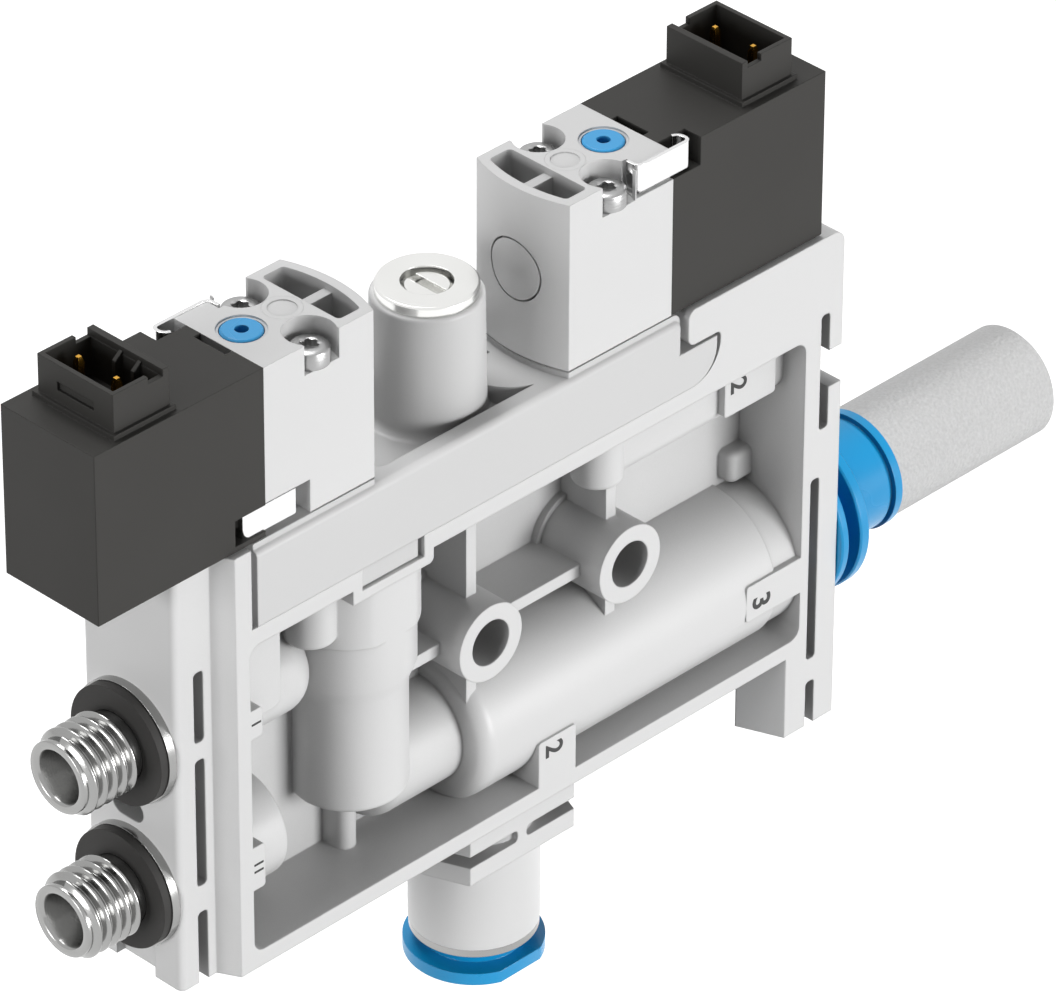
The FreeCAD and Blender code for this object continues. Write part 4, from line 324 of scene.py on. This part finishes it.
# Each pilot valve: a moulded pale body with a bulged end, a round cap, a blind plug and a hand
# override, and a dark coil moulding with two pins in its plug socket. Clips tie the two
# mouldings together, and screws hold them down.
SIDES = ("left", "right")
# The body's plastic is a shade lighter and finer-skinned than the housing's; the coil moulding is
# anthracite with a dull sheen.
valve_plastic = moulded_plastic(
    "valve_plastic", "#E6E6E6", roughness=0.38, grain_mm=0.08, depth_mm=0.008, edge_mm=0.12)
coil_plastic = moulded_plastic(
    "coil_plastic", "#383735", roughness=0.55, grain_mm=0.12, depth_mm=0.015, edge_mm=0.15, sheen_level=0.2)
# Tool marks are fine noise, drawn a ninth of a millimetre apart so that they can show. With an
# axis, they are drawn out fifty times across it, so that they run in rings.
STREAK_MM = 1 / 9
STREAK_SQUEEZE = 0.02
STREAK_STRENGTH = 0.15
STREAK_DEPTH_MM = 0.004
STREAK_SMOOTH = 0.8
STREAK_ROUGH = 1.2


def polished_metal(name, base, roughness, edge_mm, streak_axis=None):
    """Bright metal: a polished or turned surface with fine tool marks and a broken edge."""
    material, tree = blank_material(name)
    place = add_node(tree, "ShaderNodeTexCoord").outputs["Object"]
    squeeze = {
        None: (1, 1, 1), "x": (1, STREAK_SQUEEZE, STREAK_SQUEEZE),
        "z": (STREAK_SQUEEZE, STREAK_SQUEEZE, 1)}[streak_axis]
    scaled = add_node(tree, "ShaderNodeMapping", {"Scale": squeeze}, {"Vector": place})
    marks = add_node(tree, "ShaderNodeTexNoise", {
        "Scale": 1 / (STREAK_MM * MM), "Detail": 2.0}, {"Vector": scaled.outputs[0]})
    edge = add_node(tree, "ShaderNodeBevel", {"Radius": edge_mm * MM}, samples=EDGE_SAMPLES)
    bump = add_node(tree, "ShaderNodeBump", {"Strength": STREAK_STRENGTH, "Distance": STREAK_DEPTH_MM * MM}, {
        "Height": marks.outputs["Fac"], "Normal": edge.outputs[0]})
    rough = add_node(tree, "ShaderNodeMapRange", {
        "From Min": NOISE_LOW, "From Max": NOISE_HIGH,
        "To Min": roughness * STREAK_SMOOTH, "To Max": roughness * STREAK_ROUGH},
        {"Value": marks.outputs["Fac"]})
    metal = add_node(tree, "ShaderNodeBsdfPrincipled", {"Base Color": colour(base), "Metallic": 1.0}, {
        "Roughness": rough.outputs[0], "Normal": bump.outputs[0]})
    add_node(tree, "ShaderNodeOutputMaterial", links={"Surface": metal.outputs[0]})
    return material


# Gold plate gives the pins a warm glint; the overrides are a light, smooth blue plastic.
gold_plate = polished_metal("gold_plate", "#D9A441", roughness=0.2, edge_mm=0.03)
override_plastic = moulded_plastic(
    "override_plastic", "#3FAEEE", roughness=0.3, grain_mm=0.08, depth_mm=0.004, edge_mm=0.1)
for side in SIDES:
    body = smooth_copy("valve_body_" + side, "pilot_body_" + side, valve_plastic)
    coil = smooth_copy("coil_housing_" + side, "coil_moulding_" + side, coil_plastic)
    disc = smooth_copy("disc_plug_" + side, "blind_plug_" + side, valve_plastic)
    cap = smooth_copy("end_cap_" + side, "round_cap_" + side, valve_plastic)
    pins = smooth_copy("connector_pins_" + side, "plug_pins_" + side, gold_plate)
    button = smooth_copy("override_button_" + side, "hand_override_" + side, override_plastic)


# The stainless screws: flat-topped heads with a rounded rim and a six-lobe recess, cold-headed
# and tumbled. Two hold each valve down on the carrier. Their points are in millimetres, as for
# all pieces made here.
MERGE_MM = 1e-4
SCREW_PLACES = ((-17.29, -5.13), (-17.29, 2.21))
SCREW_STEPS = 36
LOBES = 6
LOBE_DEPTH = 0.13
# Each ring from the recess floor, over the head and down the shank: height, radius and share of
# the lobe wave.
HEAD_RINGS = (
    (33.80, 0.64, 1), (34.38, 0.66, 1), (34.43, 0.74, 0.6), (34.43, 1.05, 0), (34.39, 1.36, 0),
    (34.28, 1.52, 0), (34.12, 1.60, 0), (32.96, 1.60, 0), (32.96, 0.80, 0), (16.60, 0.80, 0))


def finished(work, name, material, body, smooth=SMOOTH_ANGLE):
    """Turns a bmesh in millimetres to a piece in metres, shaded smooth between sharp edges."""
    bmesh.ops.remove_doubles(work, verts=work.verts, dist=MERGE_MM)
    bmesh.ops.recalc_face_normals(work, faces=work.faces)
    bmesh.ops.scale(work, vec=(MM, MM, MM), verts=work.verts)
    for face in work.faces:
        face.smooth = True
    for edge in work.edges:
        edge.smooth = edge.is_manifold and edge.calc_face_angle(0.0) < smooth
    mesh = bpy.data.meshes.new(name)
    work.to_mesh(mesh)
    work.free()
    mesh.materials.append(material)
    piece = bpy.data.objects.new(name, mesh)
    bpy.context.scene.collection.objects.link(piece)
    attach(piece, body)
    return piece


VALVE_TURN = (-1.56, -1.46)


def half_turned(x, y, side):
    """The right valve is the left one turned half round; places are written for the left."""
    return (x, y) if side == "left" else (2 * VALVE_TURN[0] - x, 2 * VALVE_TURN[1] - y)


def ring_radius(turn, radius, share):
    return radius * (1 + share * LOBE_DEPTH * math.cos(LOBES * turn))


def lobe_screw(work, x, y):
    """One screw, drawn ring by ring from the floor of its recess to the end of its shank."""
    first = bmesh.ops.create_circle(work, cap_ends=True, segments=SCREW_STEPS, radius=1.0)["verts"]
    loop = [edge for edge in work.edges if all(v in first for v in edge.verts)]
    verts = first
    for level, (z, radius, share) in enumerate(HEAD_RINGS):
        if level:
            grown = bmesh.ops.extrude_edge_only(work, edges=loop)["geom"]
            verts = [v for v in grown if isinstance(v, bmesh.types.BMVert)]
            new_edges = [e for e in grown if isinstance(e, bmesh.types.BMEdge)]
            loop = [e for e in new_edges if all(v in verts for v in e.verts)]
        for vert in verts:
            away = vert.co - Vector((x, y, 0)) if level else vert.co
            turn = math.atan2(away.y, away.x)
            size = ring_radius(turn, radius, share)
            vert.co = (x + size * math.cos(turn), y + size * math.sin(turn), z)
    bmesh.ops.contextual_create(work, geom=loop)


# Tumbled stainless: a mid grey with soft highlights, written darker than the bare metal is,
# because the studio is white all round.
screw_steel = polished_metal("screw_steel", "#A2A2A2", roughness=0.32, edge_mm=0.05, streak_axis="z")
for side in SIDES:
    screws = bmesh.new()
    for place in SCREW_PLACES:
        lobe_screw(screws, *half_turned(*place, side))
    screw = finished(screws, "lobe_screws_" + side, screw_steel, "frame")
    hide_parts("valve_screws_" + side)


# The spring clips are stamped from stainless strip and bent: a long face, one end hooked into
# the body, the other round the coil moulding. The upper clip is at the back of the left valve.
STRIP = 0.3
BEND_STEPS = 6
UPPER_CLIP = ((-19.54, 2.05), (-19.54, 3.39), (-25.47, 3.39), (-25.47, 2.1), (-24.8, 1.75))
UPPER_BENDS = (0, 0.75, 0.6, 0.5, 0)
UPPER_HEIGHTS = (33.30, 35.66)
LOWER_CLIP = ((-25.30, -4.90), (-25.30, -6.31), (-19.85, -6.31), (-19.85, -5.20))
LOWER_BENDS = (0, 0.6, 0.2, 0)
LOWER_HEIGHTS = (21.16, 23.40)


def bent_strip(work, points, bends, heights):
    """A strip on edge along the points, its corners bent, extruded up and given its gauge."""
    path = bmesh.new()
    line = [path.verts.new((x, y, heights[0])) for x, y in points]
    for start, end in zip(line, line[1:]):
        path.edges.new((start, end))
    for vert, bend in zip(line, bends):
        if bend:
            bmesh.ops.bevel(path, geom=[vert], offset=bend, offset_type="OFFSET", segments=BEND_STEPS,
                            profile=0.5, affect="VERTICES", material=-1)
    tall = bmesh.ops.extrude_edge_only(path, edges=path.edges)["geom"]
    raised = [v for v in tall if isinstance(v, bmesh.types.BMVert)]
    bmesh.ops.translate(path, verts=raised, vec=(0, 0, heights[1] - heights[0]))
    bmesh.ops.recalc_face_normals(path, faces=path.faces)
    bmesh.ops.solidify(path, geom=path.faces, thickness=STRIP)
    mesh = bpy.data.meshes.new("strip")
    path.to_mesh(mesh)
    path.free()
    work.from_mesh(mesh)
    bpy.data.meshes.remove(mesh)


# Polished stainless strip: nearly white where it mirrors the studio.
polished_steel = polished_metal("polished_stainless", "#E8E8E8", roughness=0.12, edge_mm=0.08)
for side in SIDES:
    strips = bmesh.new()
    for points, bends, heights in (
            (UPPER_CLIP, UPPER_BENDS, UPPER_HEIGHTS), (LOWER_CLIP, LOWER_BENDS, LOWER_HEIGHTS)):
        bent_strip(strips, [half_turned(x, y, side) for x, y in points], bends, heights)
    clip = finished(strips, "spring_clips_" + side, polished_steel, "frame")
    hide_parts("clips_" + side)


# The throttle screw is turned brass with a slot, and sits in a brass insert that ends in a flat
# disc on the dome. Both are nickel-plated, which shows as a near-white satin face.
nickel = polished_metal("nickel_plate", "#E8E8E6", roughness=0.2, edge_mm=0.06, streak_axis="z")
insert = smooth_copy("adjuster_insert", "throttle_insert", nickel)
screw = smooth_copy("adjusting_screw", "throttle_screw", nickel)


# The push-in vacuum port: a moulded pale sleeve held in the housing, a rolled nickel-plated ring
# at its mouth, and a moulded release ring below that slides to let the tube go. The blue is a
# deep, smooth plastic with clear highlights.
# Painted shade: the ring's nickel is written far darker than the near-white plate on the throttle screw, so
# that its reflections come out dim.
shaded_nickel_ring = polished_metal("rolled_nickel_painted_shade", "#9E9E9D", roughness=0.16, edge_mm=0.06, streak_axis="z")
blue_plastic = moulded_plastic(
    "blue_plastic", "#0A9EDC", roughness=0.3, grain_mm=0.1, depth_mm=0.004, edge_mm=0.12)
sleeve_plastic = moulded_plastic(
    "sleeve_plastic", "#E4E4E4", roughness=0.35, grain_mm=0.1, depth_mm=0.006, edge_mm=0.12)
sleeve = smooth_copy("cartridge_sleeve", "port_sleeve", sleeve_plastic)
ring = smooth_copy("sleeve_ring", "port_ring", shaded_nickel_ring)
release = smooth_copy("release_ring_vacuum", "release_ring_low", blue_plastic)


# The exhaust: a larger moulded release ring on the end face, then the silencer's blue plug,
# pushed into the port, with a cup of sintered plastic beads on it.
release_out = smooth_copy("release_ring_exhaust", "release_ring_side", blue_plastic)
plug = smooth_copy("silencer_plug", "silencer_neck", blue_plastic)


# The beads and the gaps between them are drawn rather coarse, so that they show.
BEAD_MM = 0.42
GAP_MM = 0.25
BEAD_DEPTH_MM = 0.12
BEAD_STRENGTH = 0.5
GAP_HIGH = 0.75
GAP_PAINTED_SHADE = 0.86
SINTER_ROUGHNESS = 0.75


def sintered_plastic(name):
    """Sintered polyethylene: pale beads fused together, dull all over and open between, with painted shade in
    the gaps.
    """
    material, tree = blank_material(name)
    place = add_node(tree, "ShaderNodeTexCoord").outputs["Object"]
    beads = add_node(tree, "ShaderNodeTexVoronoi", {
        "Scale": 1 / (BEAD_MM * MM)}, {"Vector": place}, feature="F1")
    fine = add_node(tree, "ShaderNodeTexNoise", {
        "Scale": 1 / (GAP_MM * MM), "Detail": 3.0}, {"Vector": place})
    height = add_node(tree, "ShaderNodeMath", links={
        0: beads.outputs["Distance"], 1: fine.outputs["Fac"]}, operation="SUBTRACT")
    bump = add_node(tree, "ShaderNodeBump", {"Strength": BEAD_STRENGTH, "Distance": BEAD_DEPTH_MM * MM}, {
        "Height": height.outputs[0]}, invert=True)
    # Painted shade: the colour darkens where the fine noise sinks the surface into the gaps.
    gap_painted_shade = add_node(tree, "ShaderNodeMapRange", {
        "From Min": NOISE_LOW, "From Max": GAP_HIGH, "To Min": GAP_PAINTED_SHADE, "To Max": 1.0}, {
        "Value": fine.outputs["Fac"]})
    shade = add_node(tree, "ShaderNodeMix", {
        "Factor": 1.0, "A": colour("#DADADA")}, data_type="RGBA", blend_type="MULTIPLY")
    tree.links.new(gap_painted_shade.outputs[0], shade.inputs["B"])
    body = add_node(tree, "ShaderNodeBsdfPrincipled", {
        "Roughness": SINTER_ROUGHNESS, "IOR": PLASTIC_IOR}, {
        "Base Color": shade.outputs["Result"], "Normal": bump.outputs[0]})
    add_node(tree, "ShaderNodeOutputMaterial", links={"Surface": body.outputs[0]})
    return material


sinter = sintered_plastic("sintered_polyethylene")
muffler = smooth_copy("silencer", "sintered_silencer", sinter)


# The two air nipples are turned from brass and nickel-plated, with an M7 by 1 thread, and stand
# in the end block. Behind each sits a bonded seal: a metal washer with a nitrile rubber ring,
# dark grey and nearly without sheen.
# Painted shade: this nickel is written far darker than the near-white plate on the throttle screw, so that
# its reflections come out dim.
shaded_nickel_turned = polished_metal("turned_nickel_painted_shade", "#9C9C9B", roughness=0.2, edge_mm=0.06, streak_axis="x")
rubber = moulded_plastic(
    "nitrile_rubber", "#3C3B3A", roughness=0.6, grain_mm=0.1, depth_mm=0.01, edge_mm=0.1, sheen_level=0.2)
NIPPLE_HEIGHTS = {"high": 3.25, "low": -10.07}
PITCH = 1.0
THREAD_R = 3.5
CORE_R = 2.93
THREAD_FROM = -38.35
THREAD_TO = -33.75
TURN_STEPS = 48
SPIN_STEPS = 64
NIPPLE_PROFILE = (
    (-25.5, 2.175), (-25.5, 2.95), (-33.15, 2.95), (-33.3, CORE_R), (-38.40, CORE_R), (-38.52, 3.02),
    (-38.93, 3.02), (-38.98, 2.97), (-38.98, 2.40), (-38.93, 2.34), (-38.72, 2.175))
# One thread ridge across: along the axis from its middle, and outwards from the axis.
RIDGE = ((-0.47, 2.80), (-0.40, 2.97), (-0.16, 3.40), (-0.07, THREAD_R), (0.07, THREAD_R), (0.16, 3.40),
         (0.40, 2.97), (0.47, 2.80))
# The ridge rises out of the core at the tip and sinks back into it at the end of its run.
TIP_END = -38.80
TIP_TAPER = 0.5
ROOT_SINK = 0.1
RUN_OUT = 0.3
NIPPLE_SMOOTH = math.radians(50)


def air_nipple(work, height):
    """The turned body with its bore, and the helical ridge that fades at both ends."""
    outline = [work.verts.new((x, 0, height + r)) for x, r in NIPPLE_PROFILE]
    edges = [work.edges.new(pair) for pair in zip(outline, outline[1:] + outline[:1])]
    bmesh.ops.spin(work, geom=outline + edges, cent=(0, 0, height), axis=(1, 0, 0), angle=2 * math.pi,
                   steps=SPIN_STEPS, use_merge=True)
    before = set(work.verts)
    section = [work.verts.new((THREAD_FROM + x, 0, height + r)) for x, r in RIDGE]
    face = work.faces.new(section)
    turns = (THREAD_TO - THREAD_FROM) / PITCH
    steps = round(turns * TURN_STEPS)
    bmesh.ops.spin(work, geom=section + list(face.edges) + [face], cent=(0, 0, height), axis=(1, 0, 0),
                   dvec=(PITCH / TURN_STEPS, 0, 0), angle=2 * math.pi * turns, steps=steps, use_merge=False)
    for vert in work.verts:
        if vert not in before:
            out = Vector((0, vert.co.y, vert.co.z - height))
            room = CORE_R - ROOT_SINK + max(0.0, (vert.co.x - TIP_END) / TIP_TAPER)
            fade = CORE_R - ROOT_SINK + max(0.0, (THREAD_TO + RUN_OUT - vert.co.x) / TIP_TAPER)
            size = min(out.length, room, fade)
            out = out.normalized() * size
            vert.co = (vert.co.x, out.y, height + out.z)


for level, height in NIPPLE_HEIGHTS.items():
    body = bmesh.new()
    air_nipple(body, height)
    nipple = finished(body, "air_nipple_" + level, shaded_nickel_turned, "frame", NIPPLE_SMOOTH)
    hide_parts("nipple_" + level)
    metal = smooth_copy("washer_metal_" + level, "seal_washer_" + level, shaded_nickel_turned)
    seal = smooth_copy("washer_rubber_" + level, "seal_rubber_" + level, rubber)


# Pieces closed inside keep their CAD shape: copper windings, soft iron cores and armatures,
# stainless springs and collets, rubber seals, an acetal piston and check disc, turned aluminium
# nozzles and a woven filter. Hardly any of them shows, and their colours are the usual ones.
copper = polished_metal("enamelled_copper", "#B5683A", roughness=0.3, edge_mm=0.05, streak_axis="x")
soft_iron = polished_metal("soft_iron", "#A9A9A6", roughness=0.3, edge_mm=0.05, streak_axis="x")
acetal = moulded_plastic(
    "natural_acetal", "#D8D8D2", roughness=0.35, grain_mm=0.1, depth_mm=0.005, edge_mm=0.1)
turned_aluminium = polished_metal(
    "turned_aluminium", "#D5D6D8", roughness=0.25, edge_mm=0.05, streak_axis="x")
filter_weave = moulded_plastic(
    "filter_weave", "#E8E8E4", roughness=0.7, grain_mm=0.2, depth_mm=0.05, edge_mm=0.05)
inner = {
    "coil_winding_left": copper, "coil_winding_right": copper,
    "fixed_core_left": soft_iron, "fixed_core_right": soft_iron,
    "armature_left": soft_iron, "armature_right": soft_iron,
    "armature_spring_left": polished_steel, "armature_spring_right": polished_steel,
    "override_spring_left": polished_steel, "override_spring_right": polished_steel,
    "piston_spring": polished_steel, "collet": polished_steel, "exhaust_collet": polished_steel,
    "armature_pad_left": rubber, "armature_pad_right": rubber,
    "valve_gasket_left": rubber, "valve_gasket_right": rubber,
    "screw_seal": rubber, "piston_seal": rubber, "receiver_seal": rubber, "tube_seal": rubber,
    "exhaust_seal": rubber, "supply_piston": acetal, "check_disc": acetal,
    "jet_nozzle": turned_aluminium, "receiver_nozzle": turned_aluminium, "port_filter": filter_weave,
}
for node, material in inner.items():
    slots = frame["nodes"][node].data.materials
    slots.clear()
    slots.append(material)


# The port numbers are laser-marked on their tabs, tops towards the exhaust end: the plastic's own
# skin, charred to a flat, dull dark grey. Here each is a thin figure a hair proud of its tab.
marking = moulded_plastic(
    "laser_marking", "#2C2C2C", roughness=0.6, grain_mm=0.1, depth_mm=0.004, edge_mm=0.02)
MARK_PROUD = 0.03
STROKE_GAIN = 0.02
# Each mark: its figures, its place along and up, its height and the depth of its tab's face.
MARKS = (
    ("2", 7.09, -13.46, 1.9, -6.9), ("3", 30.63, -10.81, 2.05, -6.9), ("1", -24.95, 4.75, 0.95, -6.9),
    ("11", -24.92, -8.6, 0.95, -6.9), ("2", 29.3, 9.6, 1.8, -5.2))


def port_number(text, x, z, height, front):
    """A figure as a thin mesh, scaled to its height and turned on to its tab."""
    letters = bpy.data.curves.new("figure", "FONT")
    letters.body = text
    letters.align_x = "CENTER"
    letters.extrude = 1.0
    letters.offset = STROKE_GAIN
    holder = bpy.data.objects.new("figure", letters)
    mesh = bpy.data.meshes.new_from_object(holder)
    bpy.data.objects.remove(holder)
    tall = [vert.co.y for vert in mesh.vertices]
    scale = height / (max(tall) - min(tall))
    middle = (max(tall) + min(tall)) / 2
    for vert in mesh.vertices:
        across, up, out = vert.co.x * scale, (vert.co.y - middle) * scale, vert.co.z * MARK_PROUD
        vert.co = Vector((x + up, front - out, z - across)) * MM
    mesh.materials.append(marking)
    return mesh


for number, (text, x, z, height, front) in enumerate(MARKS):
    figure = bpy.data.objects.new("port_number_" + str(number), port_number(text, x, z, height, front))
    bpy.context.scene.collection.objects.link(figure)
    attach(figure, "frame")
